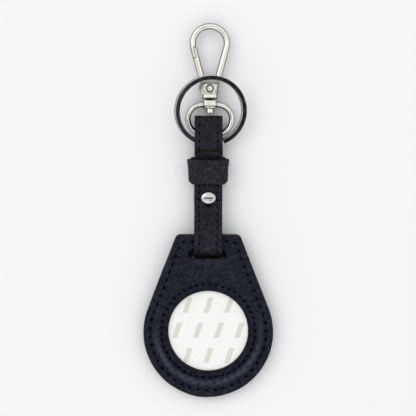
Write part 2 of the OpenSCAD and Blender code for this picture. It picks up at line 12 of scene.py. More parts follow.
import bmesh
import bpy
import numpy as np
from mathutils.geometry import delaunay_2d_cdt
from mathutils.kdtree import KDTree
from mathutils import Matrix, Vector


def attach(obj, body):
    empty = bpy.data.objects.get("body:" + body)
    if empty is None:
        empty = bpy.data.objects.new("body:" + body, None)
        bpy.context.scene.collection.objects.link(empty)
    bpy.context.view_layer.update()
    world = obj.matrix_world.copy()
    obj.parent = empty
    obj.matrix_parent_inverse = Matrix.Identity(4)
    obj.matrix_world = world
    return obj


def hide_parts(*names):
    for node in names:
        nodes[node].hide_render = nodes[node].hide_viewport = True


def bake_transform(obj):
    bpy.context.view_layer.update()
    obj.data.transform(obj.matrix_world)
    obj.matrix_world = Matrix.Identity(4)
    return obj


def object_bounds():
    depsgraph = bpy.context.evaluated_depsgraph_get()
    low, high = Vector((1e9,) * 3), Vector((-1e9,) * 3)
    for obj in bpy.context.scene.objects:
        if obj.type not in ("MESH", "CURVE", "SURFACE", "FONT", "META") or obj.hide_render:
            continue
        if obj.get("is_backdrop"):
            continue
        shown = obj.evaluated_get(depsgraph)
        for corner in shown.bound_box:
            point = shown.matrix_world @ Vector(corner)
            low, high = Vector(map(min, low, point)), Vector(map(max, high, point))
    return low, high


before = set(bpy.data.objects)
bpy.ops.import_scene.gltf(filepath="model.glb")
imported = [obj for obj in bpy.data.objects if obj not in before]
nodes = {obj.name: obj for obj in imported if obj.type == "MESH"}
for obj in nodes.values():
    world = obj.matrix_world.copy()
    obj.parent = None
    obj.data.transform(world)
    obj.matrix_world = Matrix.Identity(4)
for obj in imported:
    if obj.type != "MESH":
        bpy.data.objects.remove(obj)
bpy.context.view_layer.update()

# %% [markdown]
# ## Sizes
#
# These are the sizes that the visible pieces share. The holder lies on its round end and on the
# strap, so it leans by about three degrees. The strap's route is one line in Y and Z.

# %% Sizes and places
MM = 0.001
MIDDLE_Y = 48.5545
LOW_END_Y = -27.1
LEAN = math.asin(0.050251)
WINDOW_R = 16.25
LEATHER_T, BOARD_T, PLY_T, LAYER_GAP = 1.2, 1.4, 0.75, 0.15
STUD_Y, KEEPER_Y, KEEPER_LEN, KEEPER_SLANT = 53.5, 58.8, 10.1, 1.4
BACK_Z, BASE_Z, TONGUE_Z = 2.0, 3.65, 5.3


def centred(points):
    """Points as drawn, moved so that the origin is under the middle of the object."""
    return np.asarray(points, float) - [0, MIDDLE_Y, 0]


def on_holder(points, lift=0.0):
    """Points drawn flat on the holder, tilted about its round end."""
    x, y, z = np.asarray(points, float).T
    y, z = y - LOW_END_Y, z + lift
    c, s = math.cos(LEAN), math.sin(LEAN)
    return centred(np.column_stack([x, LOW_END_Y + y * c - z * s, y * s + z * c]))


def arc(cx, cy, r, a0, a1, n):
    """Points on an arc from one angle to another, in degrees."""
    a = np.radians(np.linspace(a0, a1, n + 1))
    return np.column_stack([cx + r * np.cos(a), cy + r * np.sin(a)])


def smooth_step(x, low, high):
    """0 below low, 1 above high, and a smooth rise between them."""
    u = np.clip((np.asarray(x, float) - low) / (high - low), 0, 1)
    return u * u * (3 - 2 * u)


def between(x, a, b, c, d):
    """A smooth hill: 0 before a, 1 from b to c and 0 after d."""
    return smooth_step(x, a, b) * (1 - smooth_step(x, c, d))


def bell(x, width):
    """1 at zero, fading to 0 beside it."""
    return np.exp(-(np.asarray(x, float) / width) ** 2)


def resample(path, spacing, closed=False):
    """A path with points at an even spacing."""
    p = np.vstack([path, path[:1]]) if closed else np.asarray(path, float)
    keep = np.r_[True, np.linalg.norm(np.diff(p, axis=0), axis=1) > 1e-6]
    p = p[keep]
    s = np.r_[0, np.cumsum(np.linalg.norm(np.diff(p, axis=0), axis=1))]
    t = np.linspace(0, s[-1], max(2, round(s[-1] / spacing)) + 1)
    t = t[:-1] if closed else t
    return np.column_stack([np.interp(t, s, c) for c in p.T])


# %% [markdown]
# ## Making a mesh
#
# Every piece is made from a list of points and a list of faces. The object stays at the origin
# and the place is in the mesh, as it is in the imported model. Doubles are merged and the faces are
# turned outwards by one function, for built pieces and castings alike.

# %% A mesh from points and faces
def new_object(name, data):
    """A new object in the scene."""
    made = bpy.data.objects.new(name, data)
    bpy.context.scene.collection.objects.link(made)
    return made


def mend_mesh(mesh, distance):
    """Merges doubles within a distance in metres and turns the faces outwards."""
    work = bmesh.new()
    work.from_mesh(mesh)
    bmesh.ops.remove_doubles(work, verts=work.verts, dist=distance)
    bmesh.ops.recalc_face_normals(work, faces=work.faces)
    work.to_mesh(mesh)
    work.free()


def apply_modifiers(piece):
    """Turns what the modifiers make into the piece's own mesh."""
    bpy.context.view_layer.update()
    done = bpy.data.meshes.new_from_object(
        piece.evaluated_get(bpy.context.evaluated_depsgraph_get()))
    piece.modifiers.clear()
    piece.data = done
    return done


def add_piece(name, points, faces, body=None, slot=None, replaces=(), material=None):
    """A new object from points in millimetres, riding on a body and standing for CAD nodes."""
    mesh = bpy.data.meshes.new(name)
    mesh.from_pydata((np.asarray(points, float) * MM).tolist(), [], [list(f) for f in faces])
    mend_mesh(mesh, 1e-7)
    for face in mesh.polygons:
        face.use_smooth = True
    return dress(new_object(name, mesh), body, slot, replaces, material)


def dress(piece, body=None, slot=None, replaces=(), material=None):
    """Gives a piece its body, the nodes it stands for and its finishes; the slot is not used."""
    for m in material if isinstance(material, (list, tuple)) else [material]:
        if m is not None:
            piece.data.materials.append(m)
    if body:
        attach(piece, body)
    if replaces:
        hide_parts(*replaces)
    return piece


# %% [markdown]
# ## One function for shader nodes
#
# A finish is a small tree of nodes. One function adds a node, sets its options and joins its
# inputs, so that each material below reads as a recipe. Colours are written as in a paint
# program, and one function turns them into the linear numbers that the renderer wants.

# %% Helpers for materials
def linear(code):
    """An sRGB hex colour as linear red, green, blue and alpha."""
    parts = [int(code[i:i + 2], 16) / 255 for i in (1, 3, 5)]
    return [c / 12.92 if c <= 0.04045 else ((c + 0.055) / 1.055) ** 2.4 for c in parts] + [1.0]


def set_inputs(tree, node, inputs):
    """Gives a node's inputs their values and their links."""
    for key, value in inputs.items():
        if isinstance(value, bpy.types.NodeSocket):
            tree.links.new(value, node.inputs[key])
        else:
            node.inputs[key].default_value = value


def add(tree, kind, inputs=None, **settings):
    """A node with its settings, its values and its links."""
    made = tree.nodes.new(kind)
    for key, value in settings.items():
        setattr(made, key, value)
    set_inputs(tree, made, inputs or {})
    return made


def calc(tree, kind, *values):
    """The result of a math node."""
    return add(tree, "ShaderNodeMath", dict(enumerate(values)), operation=kind).outputs[0]


def new_material(name):
    """An empty material with its shader and its output."""
    made = bpy.data.materials.new(name)
    made.use_nodes = True
    tree = made.node_tree
    tree.nodes.clear()
    shader = add(tree, "ShaderNodeBsdfPrincipled")
    add(tree, "ShaderNodeOutputMaterial", {"Surface": shader.outputs[0]})
    where = add(tree, "ShaderNodeTexCoord").outputs["Object"]
    return made, tree, shader, where


def mixed(tree, share, a, b):
    """A colour between two, by a share."""
    return add(tree, "ShaderNodeMix", {0: share, 6: a, 7: b}, data_type="RGBA").outputs[2]


def ranged(tree, value, low, high, new_low, new_high):
    """A value moved from one range to another."""
    return add(tree, "ShaderNodeMapRange", {0: value, 1: low, 2: high, 3: new_low, 4: new_high},
               interpolation_type="SMOOTHSTEP").outputs[0]


def noise(tree, where, size_mm, detail=2.0, rough=0.5):
    """Soft noise whose patches are about size_mm wide."""
    return add(tree, "ShaderNodeTexNoise", {"Vector": where, "Scale": 1000 / size_mm,
                                            "Detail": detail, "Roughness": rough}).outputs[0]


def mesh_value(tree, name):
    """A value that the mesh holds for every point."""
    return add(tree, "ShaderNodeAttribute", attribute_name=name).outputs["Fac"]


def relief(tree, height, strength, depth_mm):
    """Fine relief from a height between 0 and 1."""
    return add(tree, "ShaderNodeBump", {"Height": height, "Strength": strength,
                                        "Distance": depth_mm * MM}).outputs[0]


# %% [markdown]
# ## Leather
#
# The leather is dyed navy, nearly black, and has a fine pressed grain. Real grain is small closed
# cells with soft valleys between them, which a Voronoi pattern's distance to the edge gives well.
# The cells are about 0.7 mm, near the real size. Each cell gets its own random lightness, which is
# a painted highlight: it stands for the specks of light that catch on the cell tops, and the
# valleys between the cells are darkened as painted shade. A slower noise changes the dye from
# place to place. Two attributes of the mesh add more painted light: one pales the leather as a
# painted highlight on the crest of the padded roll and beside the crease below the slot, and the
# other darkens the needle holes, the grooves and the slot's edge as painted shade, where little
# light gets in.

# %% Grained leather
def leather(name, dye, worn, cell_mm, depth_mm, rough, sheen):
    """Dyed grained leather: dark, with painted highlight specks on the cell tops and painted shade
    in the valleys.
    """
    made, tree, shader, where = new_material(name)
    warp = add(tree, "ShaderNodeTexNoise", {"Vector": where, "Scale": 420.0, "Detail": 1.0})
    bent = add(tree, "ShaderNodeVectorMath", {0: warp.outputs["Color"], 1: (0.0005,) * 3},
               operation="MULTIPLY").outputs[0]
    bent = add(tree, "ShaderNodeVectorMath", {0: where, 1: bent}).outputs[0]
    grid = {"Vector": bent, "Scale": 1000 / cell_mm, "Randomness": 0.9}
    edge = add(tree, "ShaderNodeTexVoronoi", grid, feature="DISTANCE_TO_EDGE").outputs["Distance"]
    # Random lightness for each cell: a painted highlight for the specks of light on the cell tops.
    tone = add(tree, "ShaderNodeTexVoronoi", grid, feature="F1").outputs["Color"]
    tone = add(tree, "ShaderNodeSeparateXYZ", {0: tone}).outputs[0]
    valley = ranged(tree, edge, 0.0, 0.22, 0.0, 1.0)
    crease = noise(tree, where, 1.9, 4.0, 0.6)
    patches = ranged(tree, noise(tree, where, 7.0, 3.0), 0.36, 0.66, -0.07, 0.07)
    painted_highlight, painted_shade = mesh_value(tree, "painted_highlight"), mesh_value(tree, "painted_shade")
    # Dye patches, painted cell highlights and the painted highlight of the roll, as one lightness.
    dye_and_painted_light = calc(tree, "ADD", calc(tree, "ADD", tone, patches), painted_highlight)
    colour = mixed(tree, ranged(tree, dye_and_painted_light, 0.15, 1.1, 0.0, 1.0), linear(dye), linear(worn))
    # Painted shade in the valleys between the cells.
    colour = mixed(tree, ranged(tree, valley, 0.0, 1.0, 0.7, 0.0), colour, linear("#050609"))
    # Painted highlight: paler blue-grey on the roll's crest and beside the crease.
    colour = mixed(tree, painted_highlight, colour, linear("#454b5e"))
    set_inputs(tree, shader, {
        # Painted shade: near black and without gloss in the needle holes, the grooves and along the
        # slot's edge.
        "Base Color": mixed(tree, painted_shade, colour, linear("#010102")),
        "Roughness": ranged(tree, dye_and_painted_light, 0.1, 1.1, rough + 0.12, rough - 0.08),
        "Normal": relief(tree, calc(tree, "ADD", valley, crease), 0.8, depth_mm),
        "Specular IOR Level": ranged(tree, painted_shade, 0.0, 1.0, sheen, 0.0)})
    return made


GRAIN = leather("grained navy leather", "#0e121d", "#272c3d", 0.72, 0.11, 0.46, 0.16)
STRAP_GRAIN = leather("grained strap leather", "#161920", "#30343e", 0.66, 0.11, 0.46, 0.16)
SOFT_GRAIN = leather("soft matt keeper leather", "#1f2129", "#31333b", 0.9, 0.05, 0.60, 0.18)
LINING = leather("smooth lining leather", "#171619", "#252326", 0.5, 0.02, 0.66, 0.20)

# %% [markdown]
# ## Edges, board and foam
#
# Cut edges of leather are sealed with a dark brown edge paint, and the board inside the holder
# shows as a thin tan line round its rim. Both are fibrous at close range, so each has a fine
# noise in its colour and its height.


# %% Edge paint, board, foam, paper and thread
def fibrous(name, dark, light, size_mm, depth_mm, rough, sheen=0.4):
    """A rough fibrous stuff with a broken colour: cut edges, board, foam and tape."""
    made, tree, shader, where = new_material(name)
    grain = noise(tree, where, size_mm, 4.0, 0.6)
    share = ranged(tree, grain, 0.35, 0.65, 0.0, 1.0)
    set_inputs(tree, shader, {
        "Base Color": mixed(tree, share, linear(dark), linear(light)),
        "Normal": relief(tree, grain, 0.6, depth_mm), "Roughness": rough,
        "Specular IOR Level": sheen})
    return made


EDGE = fibrous("dark brown edge paint", "#0e0c09", "#211b13", 0.5, 0.05, 0.55, 0.2)
BOARD = fibrous("tan pressed board", "#4c3522", "#8a6038", 0.9, 0.08, 0.85, 0.2)
FOAM = fibrous("grey foam rubber", "#77777a", "#929290", 0.3, 0.10, 0.90, 0.2)
TAPE = fibrous("foam tape with tacky face", "#d2cfc6", "#e2dfd8", 0.4, 0.04, 0.70)

# %% [markdown]
# ## Thread
#
# The thread is waxed and navy, twisted from plies. A wave across the stitch gives the twist its
# shadow lines. The plies are drawn 0.25 mm apart, near the real spacing of a thick thread.


# %% Waxed thread
def thread(name, dark, light):
    """Waxed twisted thread: a deep blue with a soft sheen and fine slanted lines."""
    made, tree, shader, where = new_material(name)
    twist = add(tree, "ShaderNodeTexWave", {"Vector": where, "Scale": 1270.0, "Distortion": 0.6,
                                            "Detail": 1.0}, bands_direction="DIAGONAL")
    twist = twist.outputs["Fac"]
    set_inputs(tree, shader, {
        "Base Color": mixed(tree, twist, linear(dark), linear(light)),
        "Normal": relief(tree, twist, 0.5, 0.05), "Roughness": 0.45, "Specular IOR Level": 0.2})
    return made


THREAD = thread("waxed navy thread", "#050624", "#13164f")

# %% [markdown]
# ## Metals
#
# The hook and the eye are cast zinc with bright nickel plate, which is slightly warm. The split
# ring is spring steel, polished like a mirror, and the stud is satin. A metal's look is nearly
# all reflection, so the recipe is short: a base colour, a roughness with faint cloudy wear, and a
# very low ripple that breaks the reflections as plated castings do. The sides and hollows of a
# casting get a dark brown, rougher colour from an attribute of the mesh: on the sides it is a
# painted reflection of the dark surroundings, and in the hollows and joints it is painted shade.


# %% Plated metals
def metal(name, tint, rough, spread, ripple_mm):
    """Plated metal: its colour is that of its reflections, and wear shows in its roughness."""
    made, tree, shader, where = new_material(name)
    cloud = noise(tree, where, 2.2, 3.0, 0.55)
    painted_shade = mesh_value(tree, "painted_shade")
    worn = ranged(tree, cloud, 0.35, 0.7, rough, rough + spread)
    clean = mixed(tree, ranged(tree, cloud, 0.4, 0.75, 0.0, 0.12), linear(tint), linear("#8f8a80"))
    set_inputs(tree, shader, {
        # Painted reflection and shade: dark brown on the sides and in the hollows, joints and cut
        # lines.
        "Base Color": mixed(tree, painted_shade, clean, linear("#2b2115")), "Metallic": 1.0,
        "Roughness": calc(tree, "ADD", worn, calc(tree, "MULTIPLY", painted_shade, 0.22)),
        "Normal": relief(tree, noise(tree, where, 1.1, 1.0), 0.35, ripple_mm)})
    return made


NICKEL = metal("bright nickel plate", "#f4f1e8", 0.10, 0.06, 0.007)
SATIN = metal("satin nickel plate", "#d2d2cf", 0.13, 0.07, 0.008)
MIRROR = metal("mirror polished steel", "#c6c8ca", 0.06, 0.05, 0.004)
WIRE = metal("plain spring steel", "#a8a8a4", 0.30, 0.12, 0.01)

# %% [markdown]
# ## Release paper
#
# The paper over the adhesive is smooth, white and siliconed, so it has a soft shine. Such paper
# often has a pale print. Here it carries staggered rows of slanted dashes, which mean nothing.
# They come from sine waves on the drawing plane: one for the rows and one for the dashes in a
# row.


# %% Siliconed paper
def release_paper(name):
    """White siliconed paper with pale slanted dashes."""
    made, tree, shader, where = new_material(name)
    split = add(tree, "ShaderNodeSeparateXYZ", {0: where}).outputs
    row_height, dash_width = 10.2 * MM, 8.4 * MM
    up = calc(tree, "DIVIDE", calc(tree, "ADD", split["Y"], (MIDDLE_Y + 5.1) * MM), row_height)
    row = calc(tree, "FLOOR", up)
    in_row = calc(tree, "SUBTRACT", up, row)
    stagger = calc(tree, "MULTIPLY", row, 0.5)
    slant = calc(tree, "MULTIPLY", in_row, -0.42)
    along = calc(tree, "ADD", calc(tree, "DIVIDE", split["X"], dash_width), stagger)
    in_dash = calc(tree, "FRACT", calc(tree, "ADD", calc(tree, "ADD", along, slant), 20.2))
    wide = calc(tree, "ABSOLUTE", calc(tree, "SUBTRACT", in_dash, 0.5))
    tall = calc(tree, "ABSOLUTE", calc(tree, "SUBTRACT", in_row, 0.5))
    ink = calc(tree, "MULTIPLY", ranged(tree, wide, 0.115, 0.135, 1.0, 0.0),
               ranged(tree, tall, 0.29, 0.31, 1.0, 0.0))
    fibre = noise(tree, where, 1.2, 3.0)
    sheet = mixed(tree, ranged(tree, fibre, 0.3, 0.7, 0.0, 1.0), linear("#f1f1f0"),
                  linear("#f6f6f5"))
    set_inputs(tree, shader, {
        "Base Color": mixed(tree, ink, sheet, linear("#dcd8cf")),
        "Normal": relief(tree, fibre, 0.15, 0.03), "Roughness": 0.38,
        "Specular IOR Level": 0.35})
    return made


PAPER = release_paper("siliconed release paper")
print("materials", len(bpy.data.materials))

# %% [markdown]
# ## Flat pieces with rounded edges
#
# A leather panel is flat, has any outline and may have holes, and every edge is a little rounded.
# A grid of quads fits such an outline badly, so the region is filled with triangles: rows of
# points along each edge, rows along each seam where the leather is pulled in, and an even lattice
# between. A second layer of the same points is the underside. Heights and the final place come
# from functions, so the same maker serves the flat holder and the bent strap.


# %% Helpers for flat pieces
def inside(points, loop):
    """Which points lie inside a closed outline."""
    x, y = points.T
    found = np.zeros(len(points), bool)
    for (x0, y0), (x1, y1) in zip(loop, np.roll(loop, -1, axis=0)):
        cross = (y0 > y) != (y1 > y)
        if cross.any():
            found ^= cross & (x < (x1 - x0) * (y - y0) / (y1 - y0 + 1e-30) + x0)
    return found


def in_region(points, loops):
    """Which points lie inside the first outline and outside the holes."""
    found = inside(points, loops[0])
    for hole in loops[1:]:
        found &= ~inside(points, hole)
    return found


def distance_to(points, targets):
    """The distance of each point to the nearest of a dense row of targets, in the plane."""
    tree = KDTree(len(targets))
    for i, (x, y) in enumerate(targets):
        tree.insert((x, y, 0), i)
    tree.balance()
    return np.array([tree.find((x, y, 0))[2] for x, y in points])


def beside(path, offset, closed=False):
    """A path moved to its left by an offset."""
    if closed:
        d = np.roll(path, -1, axis=0) - np.roll(path, 1, axis=0)
    else:
        d = np.gradient(path, axis=0)
    d /= np.linalg.norm(d, axis=1)[:, None]
    return path + offset * np.column_stack([-d[:, 1], d[:, 0]])


def flat_piece(name, outline, holes, pitch, thickness, place, top=None, under=None, fine=None,
               round_r=0.3, paint_w=0.25, shade_paint=None, highlight_paint=None, **dressing):
    """A closed sheet with rounded edges; top and under give heights, place the final points."""
    loops = [resample(loop, pitch * 0.8, True) for loop in [outline, *holes]]
    rims = np.vstack([resample(loop, 0.06, True) for loop in loops])
    rows = []
    for number, loop in enumerate(loops):
        middle = loop.mean(0)
        for share in (0.12, 0.4, 0.75, 1.2):
            row = beside(loop, round_r * share, True)
            inward = np.linalg.norm(row - middle, axis=1).mean() < np.linalg.norm(
                loop - middle, axis=1).mean()
            rows.append(row if inward == (number == 0) else beside(loop, -round_r * share, True))
    rows = np.vstack(rows + ([fine] if fine is not None else []))
    low, high = loops[0].min(0), loops[0].max(0)
    xs, ys = np.arange(low[0], high[0], pitch), np.arange(low[1], high[1], pitch * 0.866)
    gx, gy = np.meshgrid(xs, ys)
    gx[1::2] += pitch / 2
    lattice = np.column_stack([gx.ravel(), gy.ravel()])
    lattice = lattice[distance_to(lattice, np.vstack([rims, rows])) > pitch * 0.55]
    spare = np.vstack([rows, lattice])
    good = in_region(spare, loops) & (distance_to(spare, rims) > round_r * 0.08)
    spare, edges, start = spare[good], [], 0
    for loop in loops:
        edges += [(start + i, start + (i + 1) % len(loop)) for i in range(len(loop))]
        start += len(loop)
    flat = np.vstack([*loops, spare])
    found = delaunay_2d_cdt([tuple(p) for p in flat], edges, [], 0, 1e-5)
    uv, triangles = np.array([tuple(v) for v in found[0]]), np.array(found[2])
    triangles = triangles[in_region(uv[triangles].mean(1), loops)]
    a, b, c = (uv[triangles[:, i]] for i in range(3))
    turned = (b - a)[:, 0] * (c - a)[:, 1] - (b - a)[:, 1] * (c - a)[:, 0] < 0
    triangles[turned] = triangles[turned][:, ::-1]
    rim = distance_to(uv, rims)
    fall = round_r - np.sqrt(round_r ** 2 - np.clip(round_r - rim, 0, round_r) ** 2)
    z_top = thickness - fall + (top(uv, rim) if top else 0)
    z_low = fall + (under(uv, rim) if under else 0)
    sides = {}
    for t in triangles:
        for i in range(3):
            key = (t[i], t[(i + 1) % 3])
            sides[key] = sides.get(key, 0) + 1
    n = len(uv)
    wall = [(j, i, i + n, j + n) for i, j in sides if (j, i) not in sides]
    points = np.vstack([place(uv, z_top), place(uv, z_low)])
    faces = [tuple(t) for t in triangles] + [tuple(t[::-1] + n) for t in triangles] + wall
    piece = add_piece(name, points, faces)
    mesh = piece.data
    if len(mesh.vertices) != len(points):
        print(name, "merged", len(points) - len(mesh.vertices), "doubles")
    near = KDTree(len(points))
    for i, p in enumerate(points * MM):
        near.insert(p, i)
    near.balance()
    source = np.array([near.find(v.co)[1] for v in mesh.vertices]) % n
    # These two attributes hold painted shade and a painted highlight for the leather's colour.
    for title, share in (("painted_shade", shade_paint), ("painted_highlight", highlight_paint)):
        values = share(uv)[source] if share else np.zeros(len(source))
        mesh.attributes.new(title, "FLOAT", "POINT").data.foreach_set("value", values.tolist())
    for face in mesh.polygons:
        d = rim[source[list(face.vertices)]].mean()
        face.material_index = 1 if d < paint_w else 0
    print(name, "points", len(mesh.vertices), "faces", len(mesh.polygons))
    return dress(piece, **dressing)


# %% [markdown]
# ## Sewing with Geometry Nodes
#
# A seam is one stitch repeated along a line, so Geometry Nodes are the right tool. The tree takes
# a mesh whose points are the stitches' middles, each with a direction and an up vector, and puts
# a short bowed tube on each. The tube's ends dip into the leather, as a real stitch does. Lengths
# vary by a few hundredths, with a fixed seed.


# %% The sewing tree
def sewing_tree():
    """A tree that lays one bowed stitch on every point."""
    tree = bpy.data.node_groups.new("sewing", "GeometryNodeTree")
    tree.interface.new_socket("Geometry", in_out="INPUT", socket_type="NodeSocketGeometry")
    for title, value in (("Length", 0.0026), ("Thread radius", 0.00022), ("Rise", 0.0003),
                         ("Dip", 0.00035)):
        tree.interface.new_socket(title, in_out="INPUT", socket_type="NodeSocketFloat"
                                  ).default_value = value
    tree.interface.new_socket("Seed", in_out="INPUT", socket_type="NodeSocketInt")
    tree.interface.new_socket("Finish", in_out="INPUT", socket_type="NodeSocketMaterial")
    tree.interface.new_socket("Geometry", in_out="OUTPUT", socket_type="NodeSocketGeometry")
    given = add(tree, "NodeGroupInput").outputs
    half = calc(tree, "MULTIPLY", given["Length"], 0.5)
    back = calc(tree, "MULTIPLY", half, -1.0)
    down = calc(tree, "MULTIPLY", given["Dip"], -1.0)
    start = add(tree, "ShaderNodeCombineXYZ", {0: back, 2: down}).outputs[0]
    middle = add(tree, "ShaderNodeCombineXYZ", {2: given["Rise"]}).outputs[0]
    end = add(tree, "ShaderNodeCombineXYZ", {0: half, 2: down}).outputs[0]
    line = add(tree, "GeometryNodeCurveQuadraticBezier",
               {"Resolution": 6, "Start": start, "Middle": middle, "End": end}).outputs[0]
    ring = add(tree, "GeometryNodeCurvePrimitiveCircle",
               {"Resolution": 8, "Radius": given["Thread radius"]}).outputs[0]
    stitch = add(tree, "GeometryNodeCurveToMesh",
                 {"Curve": line, "Profile Curve": ring, "Fill Caps": True}).outputs[0]
    along, up = (add(tree, "GeometryNodeInputNamedAttribute", {"Name": title},
                     data_type="FLOAT_VECTOR").outputs[0] for title in ("along", "up"))
    turn = add(tree, "FunctionNodeAlignRotationToVector", {"Vector": along}, axis="X").outputs[0]
    turn = add(tree, "FunctionNodeAlignRotationToVector", {"Rotation": turn, "Vector": up},
               axis="Z", pivot_axis="X").outputs[0]
    size = add(tree, "FunctionNodeRandomValue",
               {0: (0.95, 0.94, 0.92), 1: (1.04, 1.06, 1.08), "Seed": given["Seed"]},
               data_type="FLOAT_VECTOR").outputs[0]
    laid = add(tree, "GeometryNodeInstanceOnPoints",
               {"Points": given["Geometry"], "Instance": stitch, "Rotation": turn,
                "Scale": size}).outputs[0]
    real = add(tree, "GeometryNodeRealizeInstances", {"Geometry": laid}).outputs[0]
    soft = add(tree, "GeometryNodeSetShadeSmooth", {"Geometry": real}).outputs[0]
    done = add(tree, "GeometryNodeSetMaterial",
               {"Geometry": soft, "Material": given["Finish"]}).outputs[0]
    add(tree, "NodeGroupOutput", {0: done})
    return tree


SEWING = sewing_tree()


def sew(name, spots, along, up, length, radius, rise, dip, seed, finish):
    """Stitches at the given spots as one plain mesh."""
    mesh = bpy.data.meshes.new(name)
    mesh.from_pydata((np.asarray(spots) * MM).tolist(), [], [])
    for title, vectors in (("along", along), ("up", up)):
        mesh.attributes.new(title, "FLOAT_VECTOR", "POINT").data.foreach_set(
            "vector", np.asarray(vectors, float).ravel())
    seam = new_object(name, mesh)
    maker = seam.modifiers.new("sewing", "NODES")
    maker.node_group = SEWING
    sizes = {"Length": length * MM, "Thread radius": radius * MM, "Rise": rise * MM,
             "Dip": dip * MM, "Seed": seed, "Finish": finish}
    for socket in SEWING.interface.items_tree:
        if socket.in_out == "INPUT" and socket.name in sizes:
            maker[socket.identifier] = sizes[socket.name]
    plain = apply_modifiers(seam)
    for title in ("along", "up"):
        if title in plain.attributes:
            plain.attributes.remove(plain.attributes[title])
    print(name, "stitches", len(spots), "faces", len(plain.polygons))
    return seam


def stitch_places(path, pitch, closed=False):
    """Middles and directions of evenly spaced stitches on a path, and the holes between them."""
    p = np.vstack([path, path[:1]]) if closed else np.asarray(path, float)
    s = np.r_[0, np.cumsum(np.linalg.norm(np.diff(p, axis=0), axis=1))]
    n = round(s[-1] / pitch)

    def at(t):
        return np.column_stack([np.interp(t, s, c) for c in p.T])

    t = (np.arange(n) + 0.5) * s[-1] / n
    step = pitch * 0.3
    way = at(np.clip(t + step, 0, s[-1])) - at(np.clip(t - step, 0, s[-1]))
    ends = at(np.arange(n + (not closed)) * s[-1] / n)
    return at(t), way / np.linalg.norm(way, axis=1)[:, None], ends


# %% [markdown]
# ## The holder's outline
#
# The holder is a round end joined by straight sides to a narrower top with rounded corners. Its
# leather was cut and sealed by hand, so the rim wavers by about a tenth of a millimetre.


# %% The holder's outline and seams
ROUND_R, ROUND_DROP, TOP_Y, TOP_X, CORNER_R = 26.4, 0.7, 39.1, 13.6, 2.4
SLOT_Y, SLOT_W, SLOT_H = 29.2, 14.4, 3.4


def side_angle():
    """The direction that the holder's right side faces, in degrees."""
    reach = np.array([TOP_X - CORNER_R, TOP_Y - CORNER_R + ROUND_DROP])
    return math.degrees(math.atan2(reach[1], reach[0])
                        - math.acos((ROUND_R - CORNER_R) / np.linalg.norm(reach)))


def pear(inset, corner_r):
    """A line that follows the holder's rim at an inset, with corners of a given radius."""
    side, r = side_angle(), ROUND_R - inset
    cy = TOP_Y - inset - corner_r
    a = math.radians(side)
    cx = (r - corner_r - (cy + ROUND_DROP) * math.sin(a)) / math.cos(a)
    return np.vstack([arc(0, -ROUND_DROP, r, -180 - side, side, 160),
                      arc(cx, cy, corner_r, side, 90, 12),
                      arc(-cx, cy, corner_r, 90, 180 - side, 12)])


def holder_outline(inset=0.0, waver=0.0, phase=0.0):
    """The holder's rim, drawn in by an inset and wavering a little."""
    loop = resample(pear(inset, CORNER_R - inset), 0.4, True)
    angle = np.arctan2(loop[:, 1], loop[:, 0])
    wave = (np.sin(3 * angle + phase) + 0.7 * np.sin(7 * angle + 2.1 * phase)
            + 0.4 * np.sin(17 * angle + phase))
    wave *= 0.4 + 0.6 * (loop[:, 0] < 0)
    return loop * (1 + waver * wave / np.linalg.norm(loop, axis=1))[:, None]


def slot_outline(grow=0.0, narrow=0.0, lip=0.0, left=0.35, lift=0.5):
    """The slot for the strap, a little to the left, with a lip near its lower corners."""
    r, half = SLOT_H / 2, SLOT_W / 2 - SLOT_H / 2 - narrow
    y = SLOT_Y + r
    loop = np.vstack([arc(half, y, r + grow, -90, 90, 14), arc(-half, y, r + grow, 90, 270, 14)])
    loop = resample(loop, 0.3, True)
    x = np.abs(loop[:, 0])
    corner = between(x, 4.7, 5.3, 6.1, 6.6)
    loop[:, 1] += (lift + lip * corner) * (1 - smooth_step(loop[:, 1], SLOT_Y, SLOT_Y + 0.9))
    return loop - [left, 0]


def circle(r, n=220, y=0):
    """A circle round a place on the middle line, which is the window's centre if none is given."""
    return arc(0, y, r, 0, 360, n)[:-1]


OUTER_SEAM = resample(pear(3.0, 1.9), 0.25, True)
INNER_SEAM = circle(18.9, 480)
outer_spots, outer_way, outer_holes = stitch_places(OUTER_SEAM, 3.45, True)
inner_spots, inner_way, inner_holes = stitch_places(INNER_SEAM, 2.65, True)
print("seams", len(outer_spots), len(inner_spots))

# %% [markdown]
# ## The front leather
#
# The front leather is sewn down along both seams and lies over a foam ring in between, which
# lifts it into a soft roll, fuller towards the round end. The thread pulls a groove into the
# leather, and each needle hole is a small slit. All this is height over a flat outline: the
# roll, the grooves, a pressed line beside the window and the slot, and a slow unevenness that no
# hide is without. The slits, the bottoms of the grooves and pressed lines and the slot's edge are
# darkened as painted shade, and the crest of the roll and the edge of the crease below the slot get
# a painted highlight.


# %% Heights of the front leather
ROLL_IN, ROLL_W, ROLL_HIGH = 19.2, 3.9, 0.98


def fullness(uv):
    """How full the padding is: 1 at the round end and 0 beside the slot."""
    return 1 - smooth_step(uv[:, 1], -12, 9)


def crest(uv):
    """1 on the middle line of the padded roll and 0 at its two edges."""
    return np.sin(np.pi * np.clip((np.hypot(*uv.T) - ROLL_IN) / ROLL_W, 0, 1))


def roll(uv):
    """Height of the padded roll, fuller in the lower half."""
    return ROLL_HIGH * crest(uv) ** 0.75 * (0.16 + 0.84 * fullness(uv))


def unevenness(uv, size, depth, phase=0.0):
    """Slow low waves, as in any hide."""
    x, y = uv.T / size
    return depth * (np.sin(1.7 * x + 0.9 * y + phase) + np.sin(2.3 * y - 1.1 * x + 2 * phase)
                    + 0.6 * np.sin(3.9 * x + 3.1 * y + phase) + 0.5 * np.sin(5.3 * y - 4.1 * x)) / 3


